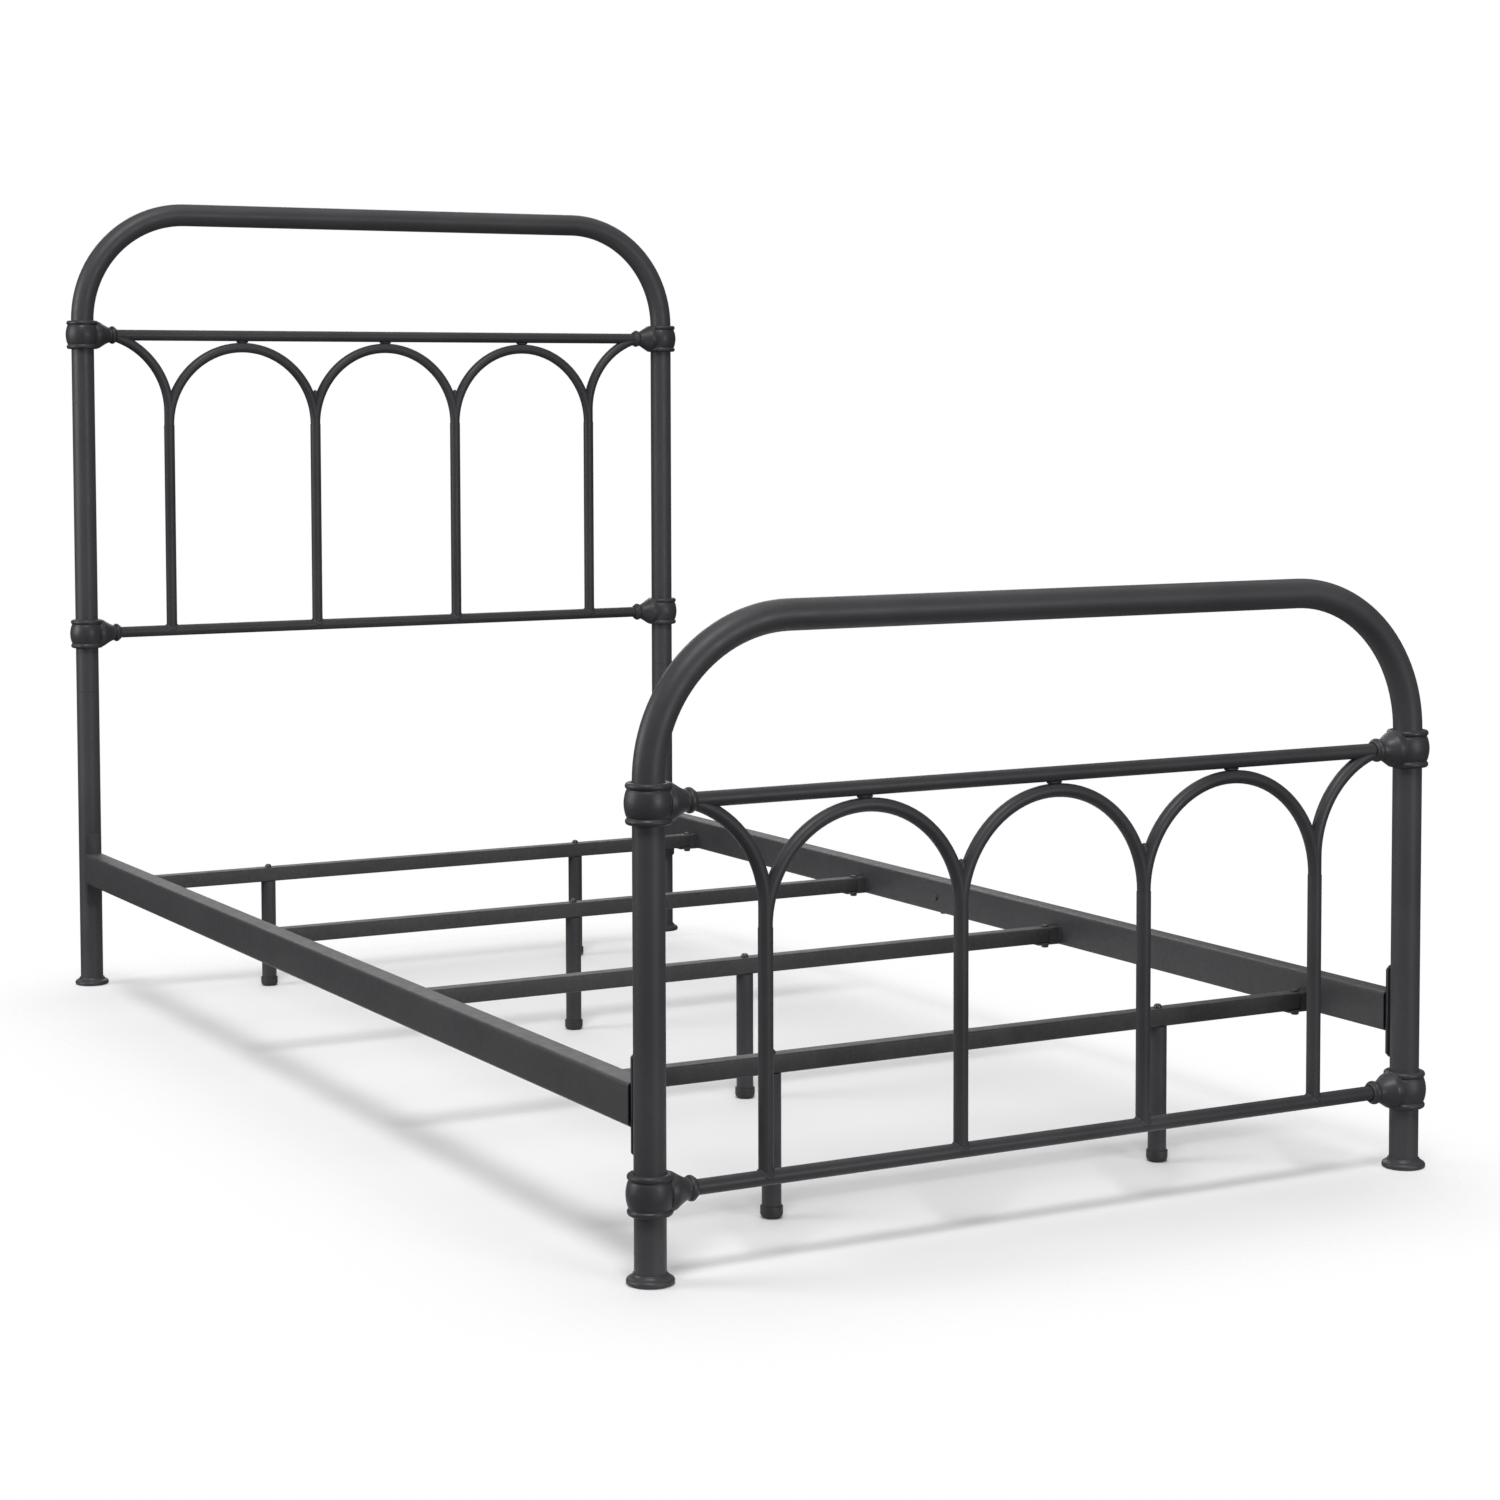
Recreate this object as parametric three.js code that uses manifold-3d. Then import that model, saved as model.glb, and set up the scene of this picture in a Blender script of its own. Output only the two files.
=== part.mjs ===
// A twin-size iron bed frame: a hooped headboard and footboard, two side rails hooked between
// them, and four cross slats on their own support legs.
// Millimetres. X runs across the bed, +Y points to the head, Z is up from the floor.
import * as THREE from 'three';
import { mergeVertices } from 'three/addons/utils/BufferGeometryUtils.js';
import Module from 'manifold-3d';

const wasm = await Module();
wasm.setup();

// ---- driving dimensions ----------------------------------------------------
// Layout of the whole bed
const POST_SPACING = 1040; // across the bed, post centre to post centre
const BED_LENGTH = 1980; // along the bed, post centre to post centre
const FIT_GAP = 0.3; // clearance between pieces that sit against each other

// Bent post tube: two posts and the hoop between them are one length
const POST_DIA = 35.5;
const POST_WALL = 1.5;
const HOOP_BEND = 172; // centre-line radius of the two top bends
const HOOP_RISE = 194.5; // hoop centre line above the upper cross rod
const SPIGOT_LENGTH = 60; // reduced end of a head leg, inside the hoop tube

// Heights of the two boards; the head hoop stops at a seam and stands on separate legs
const HEAD = { name: 'head', end: 1, upperRod: 1047, lowerRod: 568, seam: 475 };
const FOOT = { name: 'foot', end: -1, upperRod: 517, lowerRod: 97, seam: 0 };

// Round bar that fills the boards
const ROD_DIA = 17.5;
const SPINDLE_DIA = 17;
const ARCH_DIA = 16;
const SPINDLE_PITCH = 252; // four spindles, evenly spaced
const ROD_TO_ARCH = 2; // open space between a rod and the arch below it
const PAD_WIDTH = 18; // weld pad bridging that space at the crown of each arch
const PAD_DEPTH = 7;
const END_ARC_DROP = 123; // centre of the end arcs below the rod they run up to

// Cast joint between post and rod
const CAST_HEIGHT = 45.5;
const COLLAR_RADIUS = 24.6;
const BALL_RADIUS = 26.4;
const GROOVE_RADIUS = 22.6;
const TRUMPET_RADIUS = 21.6; // wide end of the cone towards the rod
const NECK_RADIUS = 11; // narrow end, beside the bead ring
const BEAD_RADIUS = 13.8;
const BEAD_REACH = 49; // bead ring, measured out from the post's axis
const SOCKET_REACH = 55; // end of the socket
const ROD_END_REACH = 27; // where the rod stops inside the socket

// Bell flange under each post
const FLANGE_RADIUS = 26.5;
const FLANGE_HEIGHT = 12;
const FLANGE_FLOOR = 3; // metal between the post's end and the floor

// Side rails of rectangular tube and the hook plates on their ends
const RAIL_WIDTH = 30;
const RAIL_HEIGHT = 48;
const RAIL_WALL = 1.5;
const RAIL_BOTTOM = 166;
const PLATE_WIDTH = 24;
const PLATE_THICKNESS = 4;
const PLATE_HEIGHT = 114;
const PLATE_CHAMFER = 5;
const HOOK_THICKNESS = 5;
const HOOK_HEIGHT = 14;
const HOOK_NIB = 8; // how far the hook hangs down behind the tube wall
const HOOK_PITCH = 70;

// Cross slats of square tube, in U brackets on the rails
const SLAT_SIZE = 22;
const SLAT_WALL = 1.5;
const SLAT_BOTTOM = 169.5;
const SLAT_PITCH_INNER = 532; // between the two middle slats
const SLAT_PITCH_OUTER = 561; // from a middle slat to the end slat beside it
const SLAT_SHIFT = 10; // the whole set sits slightly towards the head
const BRACKET_WALL = 2.2;
const CHEEK_LENGTH = 15;
const TONGUE_LENGTH = 34;

// Support legs under the slats
const LEG_DIA = 23;
const LEG_WALL = 1.5;
const LEG_OFFSET = 274; // end slats have two legs, this far from the middle
const CAP_WALL = 1.5;
const CAP_HEIGHT = 14;
const CAP_FLOOR = 3;

// Roundness of each kind of round part
const POST_SIDES = 16;
const CAST_SIDES = 16;
const BAR_SIDES = 10;
const BEND_STEP = 12; // degrees of bend per facet

// ---- derived sizes -----------------------------------------------------------
const POST_X = POST_SPACING / 2;
const POST_Y = BED_LENGTH / 2;
const POST_RADIUS = POST_DIA / 2;
const POST_BORE = POST_RADIUS - POST_WALL;
const ARCH_RADIUS = SPINDLE_PITCH / 2;
const CROWN_DROP = ROD_DIA / 2 + ROD_TO_ARCH + ARCH_DIA / 2; // rod axis to crown centre line
const SPRING_DROP = CROWN_DROP + ARCH_RADIUS; // rod axis to where the arches start
const OUTER_SPINDLE_X = 1.5 * SPINDLE_PITCH;
const RAIL_MIDDLE = RAIL_BOTTOM + RAIL_HEIGHT / 2;
const PLATE_FACE = POST_Y - POST_RADIUS - FIT_GAP; // plate face lying against the post
const RAIL_END = PLATE_FACE - PLATE_THICKNESS - FIT_GAP;
const RAIL_INNER_X = POST_X - RAIL_WIDTH / 2;
const SLAT_HALF = RAIL_INNER_X - FIT_GAP;
const SLAT_ROWS = [
  -SLAT_PITCH_INNER / 2 - SLAT_PITCH_OUTER,
  -SLAT_PITCH_INNER / 2,
  SLAT_PITCH_INNER / 2,
  SLAT_PITCH_INNER / 2 + SLAT_PITCH_OUTER,
].map((y) => y + SLAT_SHIFT);
const SIDES = [{ name: 'left', sign: -1 }, { name: 'right', sign: 1 }];

// ---- solids --------------------------------------------------------------------
// Welds the corners of a three.js shape together and hands it over for cutting and joining.
function solid(geometry) {
  const bare = geometry.clone();
  bare.deleteAttribute('normal');
  bare.deleteAttribute('uv');
  const welded = mergeVertices(bare, 1e-3);
  const index = welded.index.array;
  const triangles = [];
  for (let i = 0; i < index.length; i += 3) {
    const [a, b, c] = [index[i], index[i + 1], index[i + 2]];
    if (a !== b && b !== c && c !== a) triangles.push(a, b, c);
  }
  return new wasm.Manifold(new wasm.Mesh({
    numProp: 3,
    vertProperties: new Float32Array(welded.attributes.position.array),
    triVerts: new Uint32Array(triangles),
  }));
}

function geometryOf(body) {
  const mesh = body.getMesh();
  const geometry = new THREE.BufferGeometry();
  geometry.setAttribute('position', new THREE.BufferAttribute(mesh.vertProperties, 3));
  geometry.setIndex(new THREE.BufferAttribute(mesh.triVerts, 1));
  geometry.computeVertexNormals();
  return geometry;
}

function block(width, depth, height, x, y, z) {
  return solid(new THREE.BoxGeometry(width, depth, height).translate(x, y, z));
}

// Solid of revolution about the upright axis through (x, y); profile is [radius, height] pairs.
function turned(profile, sides, x = 0, y = 0) {
  const points = profile.map(([radius, height]) => new THREE.Vector2(radius, height));
  return solid(new THREE.LatheGeometry(points, sides).rotateX(Math.PI / 2).translate(x, y, 0));
}

// Straight upright tube, or a stepped one when the upper part is given.
function uprightTube(radius, wall, bottom, top, sides, x, y, upper = null) {
  const outside = [[radius, bottom], [radius, top]];
  const inside = [[radius - wall, top], [radius - wall, bottom]];
  if (upper) {
    outside.push([upper.radius, top], [upper.radius, upper.top]);
    inside.unshift([upper.radius - wall, upper.top], [upper.radius - wall, top - wall]);
    inside[2] = [radius - wall, top - wall];
  }
  return turned([...outside, ...inside, outside[0]], sides, x, y);
}

// Round bar lying across the bed.
function crossBar(radius, halfLength, y, z) {
  const bar = new THREE.CylinderGeometry(radius, radius, 2 * halfLength, BAR_SIDES);
  return solid(bar.rotateZ(Math.PI / 2).translate(0, y, z));
}

// Round bar standing upright.
function uprightBar(radius, bottom, top, x, y) {
  const bar = new THREE.CylinderGeometry(radius, radius, top - bottom, BAR_SIDES);
  return solid(bar.rotateX(Math.PI / 2).translate(x, y, (top + bottom) / 2));
}

// ---- bent bar --------------------------------------------------------------------
// The centre line of a bent bar: cross-sections stand only where it bends or ends.
class BentLine extends THREE.Curve {
  constructor(stations) {
    super();
    this.stations = stations;
  }

  at(u) {
    return this.stations[Math.round(u * (this.stations.length - 1))];
  }

  getPoint(u) {
    return this.at(u).point.clone();
  }

  getPointAt(u) {
    return this.at(u).point.clone();
  }

  getTangentAt(u) {
    return this.at(u).heading.clone();
  }
}

// Walks a bar up from (x, z) in the upright plane at y: straight runs, and bends to the right.
function bentLine(x, y, z, moves) {
  let heading = Math.PI / 2;
  const stations = [];
  const mark = () => stations.push({
    point: new THREE.Vector3(x, y, z),
    heading: new THREE.Vector3(Math.cos(heading), 0, Math.sin(heading)),
  });
  mark();
  for (const { run, radius, turn } of moves) {
    if (run) {
      x += run * Math.cos(heading);
      z += run * Math.sin(heading);
      mark();
      continue;
    }
    const centreX = x + radius * Math.sin(heading);
    const centreZ = z - radius * Math.cos(heading);
    const facets = Math.ceil(turn / BEND_STEP);
    for (let i = 0; i < facets; i += 1) {
      heading -= THREE.MathUtils.degToRad(turn / facets);
      x = centreX - radius * Math.sin(heading);
      z = centreZ + radius * Math.cos(heading);
      mark();
    }
  }
  return new BentLine(stations);
}

function circle(radius, sides) {
  return Array.from({ length: sides }, (_, i) => {
    const angle = (2 * Math.PI * i) / sides;
    return new THREE.Vector2(radius * Math.cos(angle), radius * Math.sin(angle));
  });
}

// Sweeps a round bar, or a tube when a bore is given, along a bent line.
function swept(line, radius, sides, bore = 0) {
  const section = new THREE.Shape(circle(radius, sides));
  if (bore) section.holes.push(new THREE.Path(circle(bore, sides)));
  return solid(new THREE.ExtrudeGeometry(section, {
    steps: line.stations.length - 1, bevelEnabled: false, extrudePath: line,
  }));
}

// ---- nodes -------------------------------------------------------------------------
const bed = new THREE.Group();
bed.name = 'metal_bed_frame';
const FINISH = {
  tube: { color: 0x232326, roughness: 0.46, metalness: 0.35 },
  casting: { color: 0x1f1f21, roughness: 0.55, metalness: 0.35 },
  bar: { color: 0x242427, roughness: 0.48, metalness: 0.35 },
  rail: { color: 0x29292c, roughness: 0.5, metalness: 0.35 },
  plastic: { color: 0x161617, roughness: 0.6, metalness: 0 },
};

function add(name, body, finish) {
  const mesh = new THREE.Mesh(geometryOf(body), new THREE.MeshStandardMaterial(FINISH[finish]));
  mesh.name = name;
  bed.add(mesh);
}

// ---- posts, hoops and floor flanges --------------------------------------------------
function hoopLine(board) {
  const y = board.end * POST_Y;
  const bottom = board.seam ? board.seam + FIT_GAP : FLANGE_FLOOR + FIT_GAP;
  const bendStart = board.upperRod + HOOP_RISE - HOOP_BEND;
  return bentLine(-POST_X, y, bottom, [
    { run: bendStart - bottom },
    { radius: HOOP_BEND, turn: 90 },
    { run: POST_SPACING - 2 * HOOP_BEND },
    { radius: HOOP_BEND, turn: 90 },
    { run: bendStart - bottom },
  ]);
}

// Slots that take the two hooks of one rail end, cut through the bed side of a post.
function hookSlots(board, side) {
  const slots = [-1, 1].map((row) => block(
    HOOK_THICKNESS + 2 * FIT_GAP, 4 * POST_WALL, HOOK_HEIGHT + HOOK_NIB + 2 * FIT_GAP,
    side.sign * POST_X, board.end * (POST_Y - POST_RADIUS),
    RAIL_MIDDLE + (row * HOOK_PITCH) / 2 - HOOK_NIB / 2,
  ));
  return slots[0].add(slots[1]);
}

function buildHoop(board) {
  let tube = swept(hoopLine(board), POST_RADIUS, POST_SIDES, POST_BORE);
  if (!board.seam) for (const side of SIDES) tube = tube.subtract(hookSlots(board, side));
  add(`${board.name}_hoop_tube`, tube, 'tube');
}

// Lower post of the headboard: the spigot at its top pushes up into the hoop tube.
function buildHeadLeg(side) {
  const leg = uprightTube(
    POST_RADIUS, POST_WALL, FLANGE_FLOOR + FIT_GAP, HEAD.seam, POST_SIDES,
    side.sign * POST_X, POST_Y,
    { radius: POST_BORE - FIT_GAP, top: HEAD.seam + SPIGOT_LENGTH },
  );
  add(`head_leg_tube_${side.name}`, leg.subtract(hookSlots(HEAD, side)), 'tube');
}

function buildFlange(board, side) {
  const socket = POST_RADIUS + FIT_GAP;
  add(`${board.name}_floor_flange_${side.name}`, turned([
    [0, 0],
    [FLANGE_RADIUS - 2.5, 0],
    [FLANGE_RADIUS, 3],
    [FLANGE_RADIUS, 6],
    [FLANGE_RADIUS - 4.5, 8.5],
    [socket + 1.6, FLANGE_HEIGHT],
    [socket, FLANGE_HEIGHT],
    [socket, FLANGE_FLOOR],
    [0, FLANGE_FLOOR],
  ], CAST_SIDES, side.sign * POST_X, board.end * POST_Y), 'casting');
}

// ---- cast joints -----------------------------------------------------------------------
// Trumpet, neck and bead ring that hold the rod; grow makes the same shape slightly fatter.
function castSocket(side, y, z, grow = 0) {
  const profile = [
    [0, 18], [TRUMPET_RADIUS, 18], [TRUMPET_RADIUS, 26], [TRUMPET_RADIUS - 4, 33],
    [NECK_RADIUS + 2, BEAD_REACH - 9], [NECK_RADIUS + 0.8, BEAD_REACH - 4.5],
    [BEAD_RADIUS - 1, BEAD_REACH - 3], [BEAD_RADIUS, BEAD_REACH],
    [BEAD_RADIUS - 1, BEAD_REACH + 3], [NECK_RADIUS, SOCKET_REACH - 1.5],
    [NECK_RADIUS, SOCKET_REACH], [0, SOCKET_REACH],
  ].map(([radius, reach]) => new THREE.Vector2(radius && radius + grow, reach));
  profile[profile.length - 1].y += grow;
  profile[profile.length - 2].y += grow;
  const socket = new THREE.LatheGeometry(profile, BAR_SIDES).rotateZ(Math.PI / 2 * side.sign);
  return solid(socket.translate(side.sign * POST_X, y, z));
}

function buildCasting(board, side, z, level) {
  const y = board.end * POST_Y;
  const half = CAST_HEIGHT / 2;
  const collars = turned([
    [0, z - half], [COLLAR_RADIUS - 2, z - half], [COLLAR_RADIUS, z - half + 2.5],
    [COLLAR_RADIUS, z - half + 6], [GROOVE_RADIUS, z - half + 8.5],
    [BALL_RADIUS - 1, z - 7], [BALL_RADIUS, z], [BALL_RADIUS - 1, z + 7],
    [GROOVE_RADIUS, z + half - 8.5], [COLLAR_RADIUS, z + half - 6],
    [COLLAR_RADIUS, z + half - 2.5], [COLLAR_RADIUS - 2, z + half], [0, z + half],
  ], CAST_SIDES, side.sign * POST_X, y);
  const rodBore = new THREE.CylinderGeometry(
    ROD_DIA / 2 + FIT_GAP, ROD_DIA / 2 + FIT_GAP, SOCKET_REACH, BAR_SIDES,
  ).rotateZ(Math.PI / 2).translate(
    side.sign * (POST_X - ROD_END_REACH + FIT_GAP - SOCKET_REACH / 2), y, z,
  );
  const casting = collars
    .add(castSocket(side, y, z))
    .subtract(swept(hoopLine(board), POST_RADIUS + FIT_GAP, POST_SIDES))
    .subtract(solid(rodBore));
  add(`${board.name}_casting_${level}_${side.name}`, casting, 'casting');
}

// ---- rods, spindles and arches ------------------------------------------------------------
function fatRod(board, z) {
  return crossBar(ROD_DIA / 2 + FIT_GAP, POST_X - ROD_END_REACH, board.end * POST_Y, z);
}

function buildRod(board, z, level) {
  const rod = crossBar(ROD_DIA / 2, POST_X - ROD_END_REACH, board.end * POST_Y, z);
  add(`${board.name}_rod_${level}`, rod, 'bar');
}

// A spindle's foot is hollowed to sit on the lower rod; the arches start from its top.
function buildSpindle(board, number) {
  const x = (number - 2.5) * SPINDLE_PITCH;
  const top = board.upperRod - SPRING_DROP - FIT_GAP;
  const bar = uprightBar(SPINDLE_DIA / 2, board.lowerRod, top, x, board.end * POST_Y);
  add(`${board.name}_spindle_${number}`, bar.subtract(fatRod(board, board.lowerRod)), 'bar');
}

// Neighbouring arches are mitred against each other on the spindle's centre plane.
function buildArch(board, number) {
  const x = (number - 2) * SPINDLE_PITCH;
  const y = board.end * POST_Y;
  const spring = board.upperRod - SPRING_DROP;
  const line = bentLine(x - ARCH_RADIUS, y, spring, [{ radius: ARCH_RADIUS, turn: 180 }]);
  const bay = block(
    SPINDLE_PITCH - FIT_GAP, 2 * ARCH_DIA, 2 * SPRING_DROP, x, y, board.upperRod - SPRING_DROP / 2,
  );
  const pad = block(PAD_WIDTH, PAD_DEPTH, CROWN_DROP, x, y, board.upperRod - CROWN_DROP / 2);
  const arch = swept(line, ARCH_DIA / 2, BAR_SIDES).intersect(bay).add(pad);
  add(`${board.name}_arch_${number}`, arch.subtract(fatRod(board, board.upperRod)), 'bar');
}

// The end arc leaves the outer spindle, rises past the arches and is cut off against the
// upper rod and the bead of the casting.
function buildEndArc(board, side) {
  const y = board.end * POST_Y;
  const spring = board.upperRod - SPRING_DROP;
  const line = bentLine(OUTER_SPINDLE_X, y, spring, [
    { run: SPRING_DROP - END_ARC_DROP },
    {
      radius: ARCH_RADIUS,
      turn: THREE.MathUtils.radToDeg(Math.asin(END_ARC_DROP / ARCH_RADIUS)),
    },
  ]);
  const nextBay = block(
    SPINDLE_PITCH, 2 * ARCH_DIA, 2 * SPRING_DROP,
    OUTER_SPINDLE_X + FIT_GAP / 2 - SPINDLE_PITCH / 2, y, board.upperRod - SPRING_DROP / 2,
  );
  const right = SIDES[1];
  const arc = swept(line, ARCH_DIA / 2, BAR_SIDES)
    .subtract(nextBay)
    .subtract(fatRod(board, board.upperRod))
    .subtract(castSocket(right, y, board.upperRod, FIT_GAP));
  const body = side === right ? arc : arc.mirror([1, 0, 0]);
  add(`${board.name}_end_arc_${side.name}`, body, 'bar');
}

// ---- side rails ------------------------------------------------------------------------------
// U bracket on a rail's inner face: two cheeks beside the slat and a tongue beneath it.
function slatBracket(side, y) {
  const innerX = (reach) => side.sign * (RAIL_INNER_X - reach / 2);
  const tongueTop = SLAT_BOTTOM - FIT_GAP;
  const width = SLAT_SIZE + 2 * FIT_GAP + 2 * BRACKET_WALL;
  const tongue = block(
    TONGUE_LENGTH, width, BRACKET_WALL, innerX(TONGUE_LENGTH), y, tongueTop - BRACKET_WALL / 2,
  );
  const cheekHeight = SLAT_SIZE + BRACKET_WALL;
  const cheeks = [-1, 1].map((edge) => block(
    CHEEK_LENGTH, BRACKET_WALL, cheekHeight,
    innerX(CHEEK_LENGTH), y + (edge * (width - BRACKET_WALL)) / 2,
    tongueTop - BRACKET_WALL + cheekHeight / 2,
  ));
  return tongue.add(cheeks[0]).add(cheeks[1]);
}

function buildRail(side) {
  const x = side.sign * POST_X;
  const tube = block(RAIL_WIDTH, 2 * RAIL_END, RAIL_HEIGHT, x, 0, RAIL_MIDDLE).subtract(block(
    RAIL_WIDTH - 2 * RAIL_WALL, 2 * RAIL_END + 1, RAIL_HEIGHT - 2 * RAIL_WALL, x, 0, RAIL_MIDDLE,
  ));
  const rail = SLAT_ROWS.reduce((body, y) => body.add(slatBracket(side, y)), tube);
  add(`side_rail_${side.name}`, rail, 'rail');
}

// Tall plate on the rail's end with two hooks that drop behind the wall of the post.
function buildHookPlate(board, side) {
  const half = PLATE_HEIGHT / 2;
  const edge = PLATE_WIDTH / 2;
  const flat = edge - PLATE_CHAMFER;
  const outline = new THREE.Shape([
    [-flat, -half], [flat, -half], [edge, PLATE_CHAMFER - half],
    [edge, half - PLATE_CHAMFER], [flat, half], [-flat, half],
    [-edge, half - PLATE_CHAMFER], [-edge, PLATE_CHAMFER - half],
  ].map(([x, z]) => new THREE.Vector2(x, z)));
  const plate = new THREE.ExtrudeGeometry(outline, { depth: PLATE_THICKNESS, bevelEnabled: false })
    .rotateX(Math.PI / 2)
    .translate(0, PLATE_FACE, 0);
  let body = solid(plate);
  const reach = FIT_GAP + POST_WALL + FIT_GAP; // from the plate to the back of the post's wall
  for (const row of [-1, 1]) {
    const z = (row * HOOK_PITCH) / 2;
    const arm = block(
      HOOK_THICKNESS, reach + HOOK_THICKNESS, HOOK_HEIGHT,
      0, PLATE_FACE + (reach + HOOK_THICKNESS) / 2, z,
    );
    const nib = block(
      HOOK_THICKNESS, HOOK_THICKNESS, HOOK_NIB,
      0, PLATE_FACE + reach + HOOK_THICKNESS / 2, z - (HOOK_HEIGHT + HOOK_NIB) / 2,
    );
    body = body.add(arm).add(nib);
  }
  if (board.end < 0) body = body.mirror([0, 1, 0]);
  add(`hook_plate_${board.name}_${side.name}`,
    body.translate([side.sign * POST_X, 0, RAIL_MIDDLE]), 'rail');
}

// ---- slats and their legs ------------------------------------------------------------------------
function buildSlat(y, number) {
  const z = SLAT_BOTTOM + SLAT_SIZE / 2;
  const bore = SLAT_SIZE - 2 * SLAT_WALL;
  const tube = block(2 * SLAT_HALF, SLAT_SIZE, SLAT_SIZE, 0, y, z)
    .subtract(block(2 * SLAT_HALF + 1, bore, bore, 0, y, z));
  add(`slat_${number}`, tube, 'rail');
}

function buildSupportLeg(x, y, name) {
  const radius = LEG_DIA / 2;
  const top = SLAT_BOTTOM - FIT_GAP;
  add(`support_leg_${name}`,
    uprightTube(radius, LEG_WALL, CAP_FLOOR + FIT_GAP, top, BAR_SIDES, x, y), 'rail');
  const socket = radius + FIT_GAP;
  const outer = socket + CAP_WALL;
  add(`leg_cap_${name}`, turned([
    [0, 0],
    [outer - 3, 0],
    [outer - 0.8, 1.2],
    [outer, 4],
    [outer, CAP_HEIGHT],
    [socket, CAP_HEIGHT],
    [socket, CAP_FLOOR],
    [0, CAP_FLOOR],
  ], BAR_SIDES, x, y), 'plastic');
}

// ---- assembly ---------------------------------------------------------------------------------------
for (const board of [HEAD, FOOT]) {
  buildHoop(board);
  buildRod(board, board.upperRod, 'upper');
  buildRod(board, board.lowerRod, 'lower');
  for (const side of SIDES) {
    buildFlange(board, side);
    buildCasting(board, side, board.upperRod, 'upper');
    buildCasting(board, side, board.lowerRod, 'lower');
    buildEndArc(board, side);
    buildHookPlate(board, side);
  }
  for (let number = 1; number <= 3; number += 1) buildArch(board, number);
  for (let number = 1; number <= 4; number += 1) buildSpindle(board, number);
}
for (const side of SIDES) {
  buildHeadLeg(side);
  buildRail(side);
}
SLAT_ROWS.forEach((y, row) => {
  const number = row + 1;
  buildSlat(y, number);
  const atEnd = number === 1 || number === SLAT_ROWS.length;
  if (atEnd) {
    for (const side of SIDES) buildSupportLeg(side.sign * LEG_OFFSET, y, `${number}_${side.name}`);
  } else {
    buildSupportLeg(0, y, `${number}_middle`);
  }
});

export default bed;
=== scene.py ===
# %% [markdown]
# # A hooped iron bed frame
#
# The bed has two ends of bent tube filled with arches of round bar, cast joints where the bars
# meet the posts, two side rails and four cross slats on short legs. The engineering model gives
# every size; this lesson builds each piece again with the roundness, castings, weld beads,
# bolts and paint that the real one has. The model is loaded first and never moved, so every
# new piece can read its place from it.

# %% Load the fixed frame
import math

import bmesh
import bpy
from mathutils import Matrix, Vector


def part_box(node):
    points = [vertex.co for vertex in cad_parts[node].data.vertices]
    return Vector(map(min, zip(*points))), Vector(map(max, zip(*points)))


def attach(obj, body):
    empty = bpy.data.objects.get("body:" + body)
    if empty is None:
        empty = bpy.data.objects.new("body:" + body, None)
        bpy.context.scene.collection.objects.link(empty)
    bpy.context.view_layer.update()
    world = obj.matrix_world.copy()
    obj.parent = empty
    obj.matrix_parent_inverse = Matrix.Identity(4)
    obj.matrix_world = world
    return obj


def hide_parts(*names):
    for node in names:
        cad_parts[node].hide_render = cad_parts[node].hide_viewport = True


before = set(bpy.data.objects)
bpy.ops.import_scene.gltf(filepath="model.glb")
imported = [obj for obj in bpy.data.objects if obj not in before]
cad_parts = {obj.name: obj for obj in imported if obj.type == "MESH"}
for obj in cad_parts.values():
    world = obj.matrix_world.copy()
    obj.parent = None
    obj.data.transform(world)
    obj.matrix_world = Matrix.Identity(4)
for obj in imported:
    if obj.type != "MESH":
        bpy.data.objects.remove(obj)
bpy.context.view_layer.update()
MM = 0.001
ENDS = ("head", "foot")
LEVELS = ("upper", "lower")
SIDES = {"left": -1, "right": 1}
ARCHES = (1, 2, 3)

# %% [markdown]
# ## Sizes read from the model
#
# A blacksmith measures the job before cutting bar. Here the boxes of a few nodes give the post
# radius, the post positions and the rod heights. Typing them again would work too, but then a
# change to the model would leave this script behind.


# %% Read the main sizes
def box_of(node):
    low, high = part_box(node)
    return Vector(low), Vector(high)


def middle(node):
    low, high = box_of(node)
    return (low + high) / 2


def extent(node):
    low, high = box_of(node)
    return high - low


POST_R = extent("head_leg_tube_left").y / 2
POST_X = abs(middle("head_leg_tube_left").x)
ROD_R = extent("foot_rod_upper").z / 2
BAR_R = extent("foot_arch_1").y / 2
SPINDLE_R = extent("foot_spindle_1").y / 2
SPINDLE_X = [middle(f"foot_spindle_{number}").x for number in (1, 2, 3, 4)]
ARCH_R = (SPINDLE_X[1] - SPINDLE_X[0]) / 2
END_Y = {end: middle(f"{end}_rod_upper").y for end in ENDS}
ROD_Z = {(end, level): middle(f"{end}_rod_{level}").z for end in ENDS for level in LEVELS}
FIT_GAP = 0.3 * MM
print("post radius", round(POST_R, 4), "rods at", {k: round(v, 3) for k, v in ROD_Z.items()})

# %% [markdown]
# ## Building blocks for paint
#
# A finish is a small graph of nodes. Four helpers keep the graphs readable: a noise that sticks
# to the object because it reads Object coordinates, a sum, a change of range and a mix of two
# colours. A flat pattern wrapped round the bars would show seams; noise in space has none.


# %% Node helpers
def new_effect(name, inputs, outputs):
    group = bpy.data.node_groups.new(name, "ShaderNodeTree")
    for label, kind, value in inputs:
        socket = group.interface.new_socket(label, in_out="INPUT", socket_type=kind)
        socket.default_value = value
    for label, kind in outputs:
        group.interface.new_socket(label, in_out="OUTPUT", socket_type=kind)
    return group, group.nodes.new("NodeGroupInput"), group.nodes.new("NodeGroupOutput")


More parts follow.
